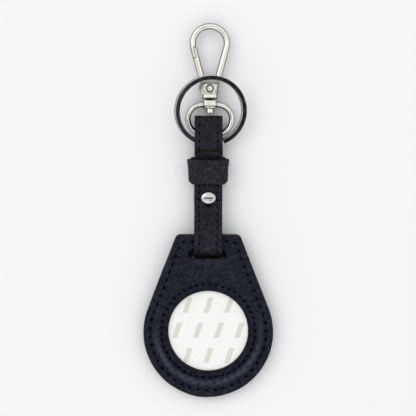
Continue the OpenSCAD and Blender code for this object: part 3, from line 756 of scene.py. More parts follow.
def slits(uv, line, holes, long=0.85, wide=0.55):
    """1 in the needle slits of a seam and 0 elsewhere."""
    across, off = distance_to(uv, line), distance_to(uv, holes)
    along = np.sqrt(np.clip(off ** 2 - across ** 2, 0, None))
    return (1 - smooth_step(along, 0.35 * long, long)) * (1 - smooth_step(across, 0.4 * wide, wide))


def groove(distance, depth, width):
    """A soft groove beside a line."""
    return -depth * bell(distance, width)


FINE_OUTER, FINE_INNER = resample(OUTER_SEAM, 0.05, True), resample(INNER_SEAM, 0.05, True)
SLOT_LINE = resample(slot_outline(), 0.1, True)
CREASE = arc(0, 64.2, 36.3, 260.5, 279.5, 90)
WINDOW_LINES = (0.55, 1.15)


def seam_distance(uv):
    """The distance to the nearer of the holder's two seams."""
    return np.minimum(distance_to(uv, FINE_OUTER), distance_to(uv, FINE_INNER))


def front_slits_and_shade(uv):
    """The needle slits with painted shade in them, and painted shade at the bottom of each seam's
    groove and pressed line and along the slot's edge.
    """
    found = np.maximum(slits(uv, FINE_OUTER, outer_holes), slits(uv, FINE_INNER, inner_holes))
    window = np.hypot(*uv.T) - WINDOW_R
    shade = np.maximum(0.12 * bell(seam_distance(uv), 0.36),
                       0.85 * bell(distance_to(uv, SLOT_LINE), 0.45))
    for line in WINDOW_LINES:
        shade = np.maximum(shade, 0.4 * bell(window - line, 0.13))
    return np.maximum(found, shade)


def front_highlight(uv):
    """Painted highlight on the crest of the roll, broken by its wrinkles, and beside the crease
    below the slot.
    """
    crease = bell(distance_to(uv, CREASE) - 0.45, 0.16)
    return (0.50 * crest(uv) ** 2 * fullness(uv) * (0.8 + 0.9 * unevenness(uv, 0.9, 1.0, 2.0))
            + 0.55 * crease * (0.6 + unevenness(uv, 0.8, 1.0, 1.0)))


def front_height(uv, rim):
    """Roll, grooves, pressed lines, a crease below the slot and unevenness of the front leather."""
    window = np.hypot(*uv.T) - WINDOW_R
    slot = distance_to(uv, SLOT_LINE)
    puffed = fullness(uv) * crest(uv)
    return (roll(uv) + groove(seam_distance(uv), 0.34, 0.46) - 0.24 * front_slits_and_shade(uv)
            + sum(groove(window - line, 0.14, 0.16) for line in WINDOW_LINES)
            + groove(slot - 0.9, 0.10, 0.22) + groove(distance_to(uv, CREASE), 0.22, 0.30)
            - 0.12 * np.exp(-rim / 0.9) + unevenness(uv, 5.0, 0.07)
            + puffed * (unevenness(uv, 1.5, 0.10, 0.7) + unevenness(uv, 0.7, 0.05, 2.2)))


SEAM_ROWS = np.vstack([resample(beside(path, offset, True), 0.26, True)
                       for path in (OUTER_SEAM, INNER_SEAM)
                       for offset in (-0.66, -0.42, -0.24, -0.08, 0.08, 0.24, 0.42, 0.66)]
                      + [beside(resample(CREASE, 0.26), offset) for offset in (-0.3, 0.0, 0.3)]
                      + [circle(WINDOW_R + line + offset, 420) for line in WINDOW_LINES
                         for offset in (-0.16, 0.0, 0.16)])


def holder_place(lift=0.0):
    """The place function of a flat piece that lies on the holder at a height."""
    return lambda uv, h: on_holder(np.column_stack([uv, h]), lift)


# %% The front leather
flat_piece("front_leather", holder_outline(0.30, 0.10, 0.4), [circle(WINDOW_R), slot_outline(0.16)],
           0.55, LEATHER_T, holder_place(LEATHER_T + BOARD_T), top=front_height,
           under=lambda uv, rim: roll(uv) * smooth_step(rim, 0.2, 1.0),
           fine=SEAM_ROWS, round_r=0.42, paint_w=0.13, shade_paint=front_slits_and_shade, highlight_paint=front_highlight,
           material=[GRAIN, EDGE], body="holder", slot="leather", replaces=["front_panel"])

# %% [markdown]
# ## The back leather, the board and the foam
#
# The back is the same leather, flat, with the same seams. Between the two lies a stiff board,
# whose raw edge is the thin tan line round the rim and in the slot, so it stands a little proud
# of the front leather. The foam ring fills the roll from below and ends flush under the leather.


# %% Back leather, board, foam and pad
def back_height(uv, rim):
    """Grooves and unevenness of the outer face of the back leather, measured inwards."""
    return (0.03 - groove(seam_distance(uv), 0.16, 0.5) + 0.15 * front_slits_and_shade(uv)
            + unevenness(uv, 6.0, 0.03, 1.0))


flat_piece("back_leather", holder_outline(0.10, 0.06, 1.7), [slot_outline(0.1, 1.5, 0, 0, 1.0)],
           0.7, LEATHER_T, holder_place(), under=back_height, fine=SEAM_ROWS, round_r=0.35,
           paint_w=0.16, shade_paint=front_slits_and_shade, material=[GRAIN, EDGE], body="holder", slot="leather",
           replaces=["back_panel"])
flat_piece("stiff_board", holder_outline(0.38, 0.11, 2.6),
           [circle(17.1), slot_outline(0.2, 0, 0.42)], 1.1, BOARD_T - 0.02,
           holder_place(LEATHER_T + 0.01), round_r=0.10, material=[BOARD, BOARD], body="holder",
           slot="board", replaces=["core_board"])


def foam_ring():
    """The foam under the roll: an arch of the roll's own height on a flat base."""
    radii, turns = np.linspace(19.3, 23.0, 15), 180
    angles = np.radians(np.arange(turns) * 360 / turns)
    flat = np.array([[r * math.cos(a), r * math.sin(a)] for a in angles for r in radii])
    n = len(radii)
    height = np.maximum(roll(flat) - 0.03, 0.004)
    points = np.vstack([on_holder(np.column_stack([flat, height]), LEATHER_T + BOARD_T),
                        on_holder(np.column_stack([flat, 0 * height]), LEATHER_T + BOARD_T)])
    half, faces = len(flat), []
    for i in range(turns):
        a, b = i * n, (i + 1) % turns * n
        for k in range(n - 1):
            faces += [(a + k, a + k + 1, b + k + 1, b + k),
                      (half + a + k, half + b + k, half + b + k + 1, half + a + k + 1)]
        faces += [(a, b, half + b, half + a),
                  (a + n - 1, half + a + n - 1, half + b + n - 1, b + n - 1)]
    return add_piece("foam_ring", points, faces, "holder", "foam", ["padding_ring"], FOAM)


foam_ring()

# %% [markdown]
# ## The paper in the window
#
# The liner is a thin disc that lies on the adhesive pad and fills the window. Its edge is cut, so
# it is only a hair thicker than a line, and it lifts by a few hundredths where it isn't pressed
# down.

# %% The liner
flat_piece("liner_sheet", circle(16.1), [], 0.8, 0.12, holder_place(LEATHER_T + 1.14),
           top=lambda uv, rim: unevenness(uv, 7.0, 0.02) + 0.02,
           under=lambda uv, rim: unevenness(uv, 7.0, 0.02) + 0.02, round_r=0.05,
           material=[PAPER, PAPER], body="liner", slot="liner_paper", replaces=["release_liner"])

# %% [markdown]
# ## The holder's seams
#
# The outer seam follows the rim all round, and the inner seam circles the window. The same
# stitches show on the back, pulled a little deeper, so that the holder lies flat.


# %% Sew the holder
def sew_holder(name, seams, face, sink, length, seed, replaces=()):
    """Stitches of the holder's seams on its front (face 1) or its back (face -1)."""
    c, s = math.cos(LEAN), math.sin(LEAN)
    spots, along = [], []
    for places, way in seams:
        height = (front_height(places, np.full(len(places), 3.0)) + LEATHER_T * 2 + BOARD_T
                  + 0.22 * front_slits_and_shade(places) - sink) if face > 0 else np.full(len(places), sink)
        spots.append(on_holder(np.column_stack([places, height])))
        along.append(np.column_stack([way[:, 0], way[:, 1] * c, way[:, 1] * s]))
    spots, along = np.vstack(spots), np.vstack(along)
    up = np.tile([0, -s * face, c * face], (len(spots), 1))
    return dress(sew(name, spots, along, up, length, 0.22, 0.24, 0.34, seed, THREAD),
                 "holder", "thread", replaces)


sew_holder("outer_stitches", [(outer_spots, outer_way)], 1, 0.0, 2.4, 3, ["outer_seam"])
sew_holder("inner_stitches", [(inner_spots, inner_way)], 1, 0.0, 1.7, 5, ["inner_seam"])
sew_holder("back_stitches", [(outer_spots, outer_way), (inner_spots, inner_way)], -1, 0.16,
           1.9, 7)

# %% [markdown]
# ## The strap's route
#
# The strap is one long double strip. It starts hidden under the tongue, rises over the ring and
# the eye, folds back, runs underneath to the holder, goes up through the slot and comes back over
# it to the stud, where its tongue is buttoned. Its middle line in Y and Z is the same as in the
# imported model. A point of the strip is given by its place across, its length along and its
# height.

# %% The route
RISE_Y, RISE_LEN, DROP_Y, DROP_LEN = 68.75, 6.3, 70.6, 4.2
FOLD_R, FOLD_LOW_Z, FOLD_Y, LOOP_R, LOOP_Y = 3.25, 0.85, 82.8, 3.25, 33.45


def rise(y0, z0, y1, z1, until=1.0, n=16):
    """A smooth step between two heights."""
    u = np.linspace(0, until, n + 1)
    return np.column_stack([y0 + (y1 - y0) * u, z0 + (z1 - z0) * (1 - np.cos(np.pi * u)) / 2])


def left_of(path):
    """Unit vectors to the left of a path."""
    d = np.gradient(path, axis=0)
    return np.column_stack([-d[:, 1], d[:, 0]]) / np.linalg.norm(d, axis=1)[:, None]


FOLD_HIGH_Z = FOLD_LOW_Z + 2 * FOLD_R
tongue_rise = rise(RISE_Y, BASE_Z, RISE_Y + RISE_LEN, FOLD_HIGH_Z, 0.7)
route = np.vstack([
    [[48.5, BASE_Z]], rise(RISE_Y, BASE_Z, RISE_Y + RISE_LEN, FOLD_HIGH_Z),
    arc(FOLD_Y, FOLD_LOW_Z + FOLD_R, FOLD_R, 90, -90, 32),
    rise(DROP_Y + DROP_LEN, FOLD_LOW_Z, DROP_Y, BACK_Z),
    arc(LOOP_Y, BACK_Z + LOOP_R, LOOP_R, 270, 90, 32),
    rise(40.1, BACK_Z + 2 * LOOP_R, 50.5, TONGUE_Z), [[52.0, TONGUE_Z]],
    tongue_rise + (2 * PLY_T + LAYER_GAP) * left_of(tongue_rise)])
route = resample(route, 0.2)
ROUTE_S = np.arange(len(route)) * np.linalg.norm(route[1] - route[0])
ROUTE_LEFT = left_of(route)
LENGTH = ROUTE_S[-1]


def route_at(s):
    """Y, Z and the left vector of the route at lengths along it."""
    return [np.interp(s, ROUTE_S, c) for c in (*route.T, *ROUTE_LEFT.T)]


def on_strap(uv, h):
    """Points of the strap from place across, length along and height over its middle."""
    y, z, ny, nz = route_at(uv[:, 1])
    drift = 0.17 * smooth_step(y, 52, 70)
    return centred(np.column_stack([uv[:, 0] + drift, y + ny * h, z + nz * h]))


def lengths_at(y):
    """Every length along the route at which it passes a place in Y."""
    crossing = np.nonzero(np.diff(np.sign(route[:, 0] - y)))[0]
    return [float(ROUTE_S[i]) for i in crossing]


S_BASE, S_BACK, S_STUD = lengths_at(STUD_Y)
S_FOLD = float(ROUTE_S[route[:, 0].argmax()])
S_LOOP = float(ROUTE_S[route[:, 0].argmin()])
print("strap length", round(LENGTH, 1), "fold at", round(S_FOLD, 1), "loop at", round(S_LOOP, 1))

# %% [markdown]
# ## The strap's two plies
#
# The strap is two plies sewn back to back, and it drifts a little to the right towards its fold.
# The tongue ends in a narrowed tip, and it has a round hole with a V slit below, through which
# the stud was buttoned. Where the leather bends, its grain breaks into short cross wrinkles,
# which are real height here. Inside the fold the lining is cut back at both edges and the face
# ply is a little hollow, so that the ring and the eye can turn.


# %% The strap
def half_width(s):
    """Half of the strap's width along its length."""
    wide = 5.66 + 0.04 * np.sin(0.31 * s)
    tip = LENGTH - s
    wide = np.where(s > S_STUD, wide - 0.8 * (1 - smooth_step(tip, 0.9, 4.2)), wide)
    return np.where(s > S_STUD, wide - 1.15 * (1 - smooth_step(tip, -0.4, 2.2)), wide)


def strap_outline(narrow=0.0):
    """The strap's outline; narrow is taken off both edges in the fold."""
    s = np.linspace(0, LENGTH, 420)
    before, after = lengths_at(71.9)[0], lengths_at(77.2)[1]
    wide = half_width(s) - narrow * between(s, before, before + 1.2, after - 1.2, after)
    return np.vstack([np.column_stack([wide, s]), np.column_stack([-wide, s])[::-1]])


KEYHOLE = np.vstack([arc(0, S_STUD, 1.7, -42, 222, 30), [
    [-1.36, S_STUD - 2.5], [-0.1, S_STUD - 4.0], [0.1, S_STUD - 4.0], [1.36, S_STUD - 2.5]]])
SEAM_X, TIP_INSET = 3.72, 2.2
strap_rows = [(SEAM_X * side, low, high) for side in (-1, 1)
              for low, high in ((lengths_at(73.4)[0], S_BACK - 4.6),
                                (S_BACK + 4.6, LENGTH - TIP_INSET))]
strap_spots, strap_way, strap_holes, strap_lines = [], [], [], []
for x, low, high in strap_rows:
    line = np.column_stack([np.full(200, x), np.linspace(low, high, 200)])
    spots, way, holes = stitch_places(line, 3.1)
    strap_spots.append(spots)
    strap_way.append(way)
    strap_holes.append(holes)
    strap_lines.append(resample(line, 0.06))
tip_line = np.column_stack([np.linspace(-1.95, 1.95, 40), np.full(40, LENGTH - TIP_INSET)])
spots, way, holes = stitch_places(tip_line, 1.95)
strap_spots, strap_way, strap_holes = (np.vstack([*a, b]) for a, b in (
    (strap_spots, spots), (strap_way, way), (strap_holes, holes)))
strap_lines = np.vstack([*strap_lines, tip_line])
along_seam = np.linspace(0.3, LENGTH - 0.5, 560)
STRAP_ROWS = np.vstack([np.column_stack([np.full(560, x + offset), along_seam])
                        for x in (-SEAM_X, SEAM_X)
                        for offset in (-0.55, -0.3, -0.1, 0.1, 0.3, 0.55)])


def strap_slits_and_shade(uv):
    """The needle slits with painted shade in them, and painted shade where the strap goes down into
    the slot.
    """
    down = 0.75 * (1 - smooth_step(route_at(uv[:, 1])[0], 30.3, 33.2))
    return np.maximum(slits(uv, strap_lines, strap_holes, 0.75, 0.42), down)


def wrinkles(uv):
    """Short cross wrinkles where the strap bends."""
    x, s = uv.T
    y = route_at(s)[0]
    bent = smooth_step(y, 69.5, 72) * (0.45 + 0.55 * smooth_step(y, 78, 84))
    bent = np.maximum(bent, 0.8 * (1 - smooth_step(y, 30, 36)))
    waves = (np.sin(5.2 * s + 1.2 * np.sin(1.3 * x))
             + 0.8 * np.sin(8.1 * s + 2.0 * np.sin(0.9 * x + 1)))
    return 0.045 * bent * waves * np.clip(np.sin(1.1 * x + 0.8 * s) + 0.7, 0, 1)


def strap_height(uv, rim):
    """Grooves, slits, wrinkles and unevenness of the strap's face."""
    return (groove(distance_to(uv, strap_lines), 0.10, 0.45) - 0.15 * strap_slits_and_shade(uv)
            + wrinkles(uv) + unevenness(uv, 3.0, 0.025) - 0.06 * np.exp(-rim / 0.6))


def eye_dent(uv, rim):
    """A shallow hollow inside the fold's lower run, where the eye's wire turns on its edges."""
    x, s = np.abs(uv[:, 0]), uv[:, 1] - lengths_at(79.7)[1]
    return 0.18 * bell(x - 5.3, 0.9) * bell(s, 1.2)


for name, low, narrow, finish, top, dent, shade_paint, node, slot in (
        ("strap_face", 0.0, 0.0, [STRAP_GRAIN, EDGE], strap_height, eye_dent, strap_slits_and_shade,
         "strap_outer", "leather"),
        ("strap_back_ply", -PLY_T, 2.8, [LINING, EDGE], None, None, None,
         "strap_lining", "lining")):
    ply = flat_piece(name, strap_outline(narrow),
                     [circle(1.15, 28, S_BASE), circle(1.15, 28, S_BACK), KEYHOLE],
                     0.5, PLY_T, lambda uv, h: on_strap(uv, h + low), top=top, under=dent,
                     fine=STRAP_ROWS if top else None, round_r=0.34, paint_w=0.22, shade_paint=shade_paint,
                     material=finish, slot=slot, replaces=[node])
    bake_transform(ply)

# %% Sew the strap
ahead, behind = (on_strap(strap_spots + step * strap_way, np.full(len(strap_spots), PLY_T))
                 for step in (0.2, -0.2))
ny, nz = route_at(strap_spots[:, 1])[2:]
seam = sew("strap_stitches", on_strap(strap_spots, np.full(len(strap_spots), PLY_T - 0.04)),
           ahead - behind, np.column_stack([0 * ny, ny, nz]), 2.0, 0.2, 0.3, 0.28, 11, THREAD)
dress(seam, None, "thread", ["strap_seam"])
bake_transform(seam)

# %% [markdown]
# ## Sweeping a section along a line
#
# The keeper, the split ring and all bars are a closed section carried along a line. The sweep
# takes one section for each place, so a section may change on the way, and it closes or caps the
# ends.


# %% The sweep and the lathe
def sweep(name, centres, across, up, sections, closed=False, **dressing):
    """A tube through the centres; a section is a closed row of places across and up."""
    n, m = len(centres), len(sections[0])
    points = np.vstack([c + s[:, :1] * a + s[:, 1:] * u
                        for c, a, u, s in zip(centres, across, up, sections)])
    faces = [(i * m + k, i * m + (k + 1) % m, (i + 1) % n * m + (k + 1) % m, (i + 1) % n * m + k)
             for i in range(n if closed else n - 1) for k in range(m)]
    if not closed:
        faces += [tuple(range(m))[::-1], tuple(range((n - 1) * m, n * m))]
    return add_piece(name, points, faces, **dressing)


def round_section(w, h, r, n=5):
    """A rectangle with rounded corners as a closed row of places.

    Each flat side has a point just past its corners, so that smooth shading leaves it flat.
    """
    corners = [arc(x, y, r, a, a + 90, n) for x, y, a in (
        (w / 2 - r, -h / 2 + r, -90), (w / 2 - r, h / 2 - r, 0),
        (-w / 2 + r, h / 2 - r, 90), (-w / 2 + r, -h / 2 + r, 180))]
    rows = []
    for corner, after in zip(corners, corners[1:] + corners[:1]):
        way = (after[0] - corner[-1]) / np.linalg.norm(after[0] - corner[-1])
        rows += [corner, [corner[-1] + 0.04 * way, after[0] - 0.04 * way]]
    return np.vstack(rows)


def lathe(name, profile, place, segments=72, **dressing):
    """A profile of radius and height turned round its axis; place gives the final points."""
    profile = np.asarray(profile, float)
    a = np.radians(np.arange(segments) * 360 / segments)
    points = np.vstack([np.column_stack([r * np.cos(a), r * np.sin(a), np.full(segments, z)])
                        for r, z in profile])
    faces = [(i * segments + k, i * segments + (k + 1) % segments,
              (i + 1) * segments + (k + 1) % segments, (i + 1) * segments + k)
             for i in range(len(profile) - 1) for k in range(segments)]
    return add_piece(name, place(points), faces, **dressing)


# %% [markdown]
# ## The keeper
#
# The keeper is a band of soft leather bent to a loop. Its section is a thin rectangle with
# rounded ends, swept round a rounded rectangle. The back lies a little further up than the front,
# and the upper edge flares at both shoulders, where the tongue has been pushed through many
# times. Its upper half is pared thin from the inside, which leaves room to slide up to the
# strap's rise.

# %% Keeper
KEEPER_W, KEEPER_HIGH, KEEPER_T, KEEPER_R = 15.9, 8.0, 1.05, 2.4
loop = round_section(KEEPER_W - KEEPER_T, KEEPER_HIGH - KEEPER_T, KEEPER_R - KEEPER_T / 2, 16)
loop = resample(loop + [0, KEEPER_HIGH / 2], 0.22, True)
outwards = -left_of(np.vstack([loop[-1:], loop, loop[:1]]))[1:-1]
sections, centres, across, up = [], [], [], []
for (x, z), (nx, nz) in zip(loop, outwards):
    share = z / KEEPER_HIGH
    low_y = KEEPER_Y + KEEPER_SLANT * (1 - share)
    high_y = low_y + KEEPER_LEN
    front = smooth_step(share, 0.45, 0.85)
    shoulder = bell(abs(x) - 7.0, 1.6) * front
    high_y += 0.18 * shoulder - 0.25 * (1 - shoulder) * smooth_step(share, 0.7, 1.0)
    high_y -= 1.1 * smooth_step(abs(x), 6.2, 7.9) * (1 - front)
    low_y += 0.85 * smooth_step(abs(x), 6.2, 7.95) * smooth_step(share, 0.05, 0.35)
    steps = np.linspace(0.55, KEEPER_LEN - 0.55, 26)
    half = KEEPER_T / 2
    rim = arc(0, 0, half * 0.96, 90, -90, 8)
    outer = np.column_stack([steps, np.full(len(steps), half)])
    section = np.vstack([outer, rim + [KEEPER_LEN - 0.5, 0], outer[::-1] * [1, -1],
                         rim[::-1] * [-1, 1] + [0.5, 0]])
    section[:, 0] *= (high_y - low_y) / KEEPER_LEN
    place = section[:, 0] / (high_y - low_y)
    section[:, 1] += 0.74 * smooth_step(place, 0.55, 0.88) * smooth_step(-section[:, 1], -0.3, 0.5)
    flare = 0.75 * shoulder * smooth_step(place, 0.45, 1.0) + 0.10 * np.sin(np.pi * place)
    waist = -0.22 * front * (1 - smooth_step(place, 0.0, 0.35))
    section[:, 1] += (flare + waist) * (abs(nx) + 0.35 * abs(nz)) * (share > 0.25)
    sections.append(section)
    centres.append([x, low_y, z])
    across.append([0, 1, 0])
    up.append([nx, 0, nz])
sweep("keeper_band", centred(centres), np.array(across), np.array(up), sections, closed=True,
      material=SOFT_GRAIN, body="keeper", slot="leather", replaces=["keeper"])

# %% [markdown]
# ## The stud
#
# The stud is turned from one piece: a neck and a low domed head. A lathe's work is a profile
# turned round an axis. The head is a little wider than it is long, because it was pressed on at
# an angle.

# %% Stud head
HEAD_Z, HEAD_R, CROWN_R, CROWN_EDGE, RIM_Z = TONGUE_Z + PLY_T + 0.2, 2.94, 7.4, 2.2, 0.6
steep = math.degrees(math.asin(CROWN_EDGE / CROWN_R))
turn = (HEAD_R - CROWN_EDGE) / (1 - math.sin(math.radians(steep)))
shoulder = arc(HEAD_R - turn, HEAD_Z + RIM_Z, turn, 0, 90 - steep, 14)
crown = [[r, shoulder[-1, 1] + (CROWN_EDGE ** 2 - r ** 2) / (2 * CROWN_R)]
         for r in np.linspace(CROWN_EDGE, 0, 14)[1:]]
lathe("stud_button", [[0, 4.45], [1.5, 4.45], [1.5, HEAD_Z - 0.15], [1.62, HEAD_Z], [2.6, HEAD_Z],
                      [2.84, HEAD_Z + 0.08], [2.93, HEAD_Z + 0.26], *shoulder, *crown],
      lambda p: centred(p * [1.03, 0.88, 1] + [0.1, STUD_Y, 0]),
      material=SATIN, body="strap", slot="satin_nickel", replaces=["stud_head"])
print("stud height", round(crown[-1][1] - HEAD_Z, 2))

# %% [markdown]
# ## The split ring
#
# The ring is flat spring wire wound twice, with one short jog where the upper turn steps over the
# lower one, turned into the strap's fold. A rectangle with small round corners is swept along
# that line. The corners matter: on polished metal they are the bright lines that draw the ring's
# shape.

# %% Split ring
RING_R, RING_W, TURN_H, TURN_PITCH, JOG, JOG_AT = 13.58, 1.95, 1.02, 1.46, 30, -82
TURN_SHIFT, RING_PLACE = 0.2, (0.93, 75.35, 4.18)
LEAN_RING, TIP_RING = math.radians(11.5), math.radians(6)
share = np.linspace(0, 1, 460)
angle = np.radians(JOG_AT + JOG / 2 + (720 - JOG) * share)
step = np.clip(((720 - JOG) * share - (360 - JOG)) / JOG, 0, 1)
height = TURN_PITCH * ((1 - np.cos(np.pi * step)) / 2 - 0.5)


def on_ring(points):
    """Points drawn flat on the ring, tipped, leaned and set in the strap's fold."""
    x, y, z = np.asarray(points, float).T
    x, z = (x * math.cos(TIP_RING) + z * math.sin(TIP_RING),
            -x * math.sin(TIP_RING) + z * math.cos(TIP_RING))
    y = y + RING_R
    y, z = (y * math.cos(LEAN_RING) - z * math.sin(LEAN_RING),
            y * math.sin(LEAN_RING) + z * math.cos(LEAN_RING))
    return centred(np.column_stack([x, y, z]) + RING_PLACE)


base = on_ring([[0, 0, 0]])
radial = np.column_stack([np.cos(angle), np.sin(angle), 0 * angle])
sections = [round_section(RING_W * k, TURN_H * k, 0.16) for k in
            np.r_[0.9, np.ones(len(angle) - 2), 0.9]]
shift = TURN_SHIFT * height / TURN_PITCH * 2
sweep("key_ring", on_ring(radial * RING_R + np.column_stack([shift, 0 * angle, height])),
      on_ring(radial) - base, on_ring([[0, 0, 1]] * len(angle)) - base, sections,
      material=MIRROR, body="ring", slot="polished_steel", replaces=["split_ring"])

# %% [markdown]
# ## Cast parts
#
# The eye, the hook and the gate are cast, so each is one skin whose edges and inner corners are
# all a little round. A good way to get that from a built solid is a voxel remesh of a merged
# copy, which joins everything into one skin of even quads, and a few passes of smoothing to
# soften it.


# %% Cast parts
def cast(name, node, voxel_mm, passes, body, slot, finish):
    """A merged copy of a node, remeshed to one soft skin."""
    mesh = nodes[node].data.copy()
    mend_mesh(mesh, 2e-6)
    mesh.materials.clear()
    piece = new_object(name, mesh)
    skin = piece.modifiers.new("skin", "REMESH")
    skin.mode, skin.voxel_size, skin.use_smooth_shade = "VOXEL", voxel_mm * MM, True
    soft = piece.modifiers.new("soft", "SMOOTH")
    soft.factor, soft.iterations = 0.5, passes
    done = apply_modifiers(piece)
    for face in done.polygons:
        face.use_smooth = True
    print(name, "faces", len(done.polygons))
    return dress(piece, body, slot, [node], finish)


hook = cast("hook_casting", "hook_body", 0.085, 4, "hook", "nickel", NICKEL)
gate = cast("gate_casting", "gate", 0.085, 4, "gate", "nickel", NICKEL)
eye = cast("eye_casting", "eye_loop", 0.085, 5, "eye", "nickel", NICKEL)
pin = cast("swivel_pin", "swivel_post", 0.08, 3, "hook", "nickel", NICKEL)

# %% [markdown]
# ## Lines, hollows and painted shade
#
# The block's two faces have a matt field with a border line and a low crescent under the rivet,
# all from the casting's mould. On a fine even skin such lines are made by moving the points near
# them: down for a cut line, up for a raised one. The block's corner next to the ring is worn by
# 0.3 mm in the same way. The same distances say where painted shade goes: in the cut lines, round
# the rivet, along the gate's lap and at the swivel's end faces, where the gaps are. The sides get a
# painted reflection of the dark surroundings, and the matt field and a low corner of the faces are
# a little darker.

# %% Carve the block and paint its shade
HOOK_X, HOOK_Z, RIVET_Y = 0.7, 2.9, 97.8
NECK_Y, BARREL_Y, BARREL_END_Y, SQUARENESS = 93.8, 93.5, 90.6, 4.5
BORDER = np.vstack([arc(-0.55, 97.6, 2.3, 180, 92, 20), [[3.75, 99.9], [4.25, 99.4], [3.55, 94.9]]])
CRESCENT = arc(HOOK_X, RIVET_Y, 2.05, 205, 335, 30)
LAP = np.array([[-5.97, 114.41], [-4.64, 114.70], [-5.97, 114.41], [-4.88, 110.35],
                [-6.15, 109.85]])


def near(points, line, width):
    """1 on a line, fading to 0 beside it."""
    return bell(distance_to(points, resample(line, 0.05)), width)


def squared(skin, low_y, high_y, radius):
    """A round bar along Y with its four faces flattened; its width and its height stay."""
    x, z = skin[:, 0] - HOOK_X, skin[:, 2] - HOOK_Z
    r = np.hypot(x, z) + 1e-9
    corner = (np.abs(x) / r) ** SQUARENESS + (np.abs(z) / r) ** SQUARENESS
    here = (between(skin[:, 1], low_y - 0.1, low_y, high_y, high_y + 0.1)
            * between(r, 0.72 * radius, 0.97 * radius, 1.06 * radius, 1.2 * radius))
    grow = 1 + (corner ** (-1 / SQUARENESS) - 1) * here
    return np.column_stack([HOOK_X + x * grow, skin[:, 1], HOOK_Z + z * grow])


def finish_casting(piece, cut=None, marks=(), square=None):
    """Moves the points of the carved lines and writes the painted shade and reflection of every
    point.
    """
    mesh = piece.data
    skin = np.array([tuple(v.co) for v in mesh.vertices]) / MM + [0, MIDDLE_Y, 0]
    if cut:
        skin[:, 2] += np.sign(skin[:, 2] - HOOK_Z) * cut(skin)
    if square:
        skin = squared(skin, *square)
    mesh.vertices.foreach_set("co", ((skin - [0, MIDDLE_Y, 0]) * MM).ravel())
    mesh.update()
    # Painted reflection: points whose faces turn sideways get the dark brown of reflected dark
    # surroundings.
    level = np.abs(np.array([v.normal.z for v in mesh.vertices]))
    painted_dark = 0.85 * (1 - smooth_step(level, 0.34, 0.90))
    for mark in marks:
        painted_dark = np.maximum(painted_dark, mark(skin))
    mesh.attributes.new("painted_shade", "FLOAT", "POINT").data.foreach_set("value", painted_dark.tolist())
    print(piece.name, "shaded points", int((painted_dark > 0.5).sum()), "of", len(skin))


def on_block(skin):
    """Which points lie on the block's two faces."""
    return ((np.abs(skin[:, 2] - HOOK_Z) > 1.9) & (skin[:, 1] > 94.2) & (skin[:, 1] < 101.0)
            & (np.abs(skin[:, 0] - HOOK_X) < 5.0)).astype(float)


def block_lines(skin):
    """Depth of the border, height of the crescent and the worn corner."""
    flat = skin[:, :2]
    worn = bell(flat[:, 0] - 4.97, 0.7) * bell(flat[:, 1] - 100.9, 0.8)
    return (on_block(skin) * (0.13 * near(flat, CRESCENT, 0.20) - 0.16 * near(flat, BORDER, 0.15))
            - 0.32 * worn)


def block_shade(skin):
    """Painted shade in the border and the ring round the rivet; a darker matt field and low corner
    of the faces.
    """
    x, y = skin[:, 0], skin[:, 1]
    from_rivet = np.hypot(x - HOOK_X, y - RIVET_Y)
    field = 0.30 * smooth_step(from_rivet, 2.2, 2.5) * smooth_step(y, 95.5, 95.9)
    rings = 0.98 * bell(from_rivet - 1.42, 0.26)
    corner = 0.62 * smooth_step(np.hypot(x + 0.55, y - 97.6), 2.3, 2.5) * (x < 0.4) * (y > 96.8)
    return on_block(skin) * np.maximum.reduce(
        [field, rings, corner, 0.98 * near(skin[:, :2], BORDER, 0.30)])


def swivel_shade(skin):
    """Painted shade on the end faces of the neck and the barrel, in the gaps between them."""
    x, y = skin[:, 0] - HOOK_X, skin[:, 1]
    ends = [bell(y - end, 0.20) for end in (NECK_Y, BARREL_Y, BARREL_END_Y)]
    return 0.95 * np.maximum.reduce(ends) * (np.abs(x) < 3.3)


def lap_shade(skin):
    """Painted shade in the joint between the gate and the nose."""
    return 0.9 * near(skin[:, :2], LAP, 0.22)


finish_casting(hook, block_lines, (block_shade, swivel_shade, lap_shade),
               (NECK_Y, 95.3, 3.05))
finish_casting(gate, marks=(lap_shade,))
finish_casting(eye, marks=(swivel_shade,), square=(BARREL_END_Y, BARREL_Y, 2.75))
# The pin gets painted shade where it runs inside the barrel.
finish_casting(pin, marks=(lambda skin: 0.98 * (skin[:, 1] > BARREL_END_Y),))

# %% [markdown]
# ## The gate's rivet
#
# The rivet's two heads were spun over in shallow recesses. Each head is a low ring with a dimple
# in the middle, from the tool's point.

# %% Rivet
half_profile = [[0, 2.26], [0.2, 2.28], [0.36, 2.40], [0.6, 2.47], [0.85, 2.44], [1.05, 2.32],
                [1.15, 2.16], [1.17, 2.06], [0.78, 2.06]]
lathe("rivet", half_profile + [[r, -z] for r, z in half_profile[::-1]],
      lambda p: centred(p + [HOOK_X, RIVET_Y, HOOK_Z]), segments=48,
      material=NICKEL, body="hook", slot="nickel", replaces=["gate_rivet"])

# %% [markdown]
# ## The pieces that stay as built
#
# The adhesive pad, the keeper's staple, the screw behind the strap and the gate's spring have the
# right shape already. They only get a finish.

# %% Finishes for the pieces that stay
for node, finish in (("adhesive_pad", TAPE), ("keeper_staple", WIRE), ("stud_screw", SATIN),
                     ("gate_spring", WIRE)):
    if nodes[node].material_slots:
        for slot in nodes[node].material_slots:
            slot.material = finish
    else:
        nodes[node].data.materials.append(finish)

# %% [markdown]
# ## The studio
#
# The object is seen from straight above under broad soft light. The floor is a pale plane. The
# world is a white dome that is dark and warm near the horizon, which is what draws the dark
# outlines of round metal bars. Two dark cards, seen by reflections only, give the polished metal
# something to mirror: the leaning ring mirrors the smaller one, which pales towards its left
# side, and the stud's low dome mirrors the long one above it.


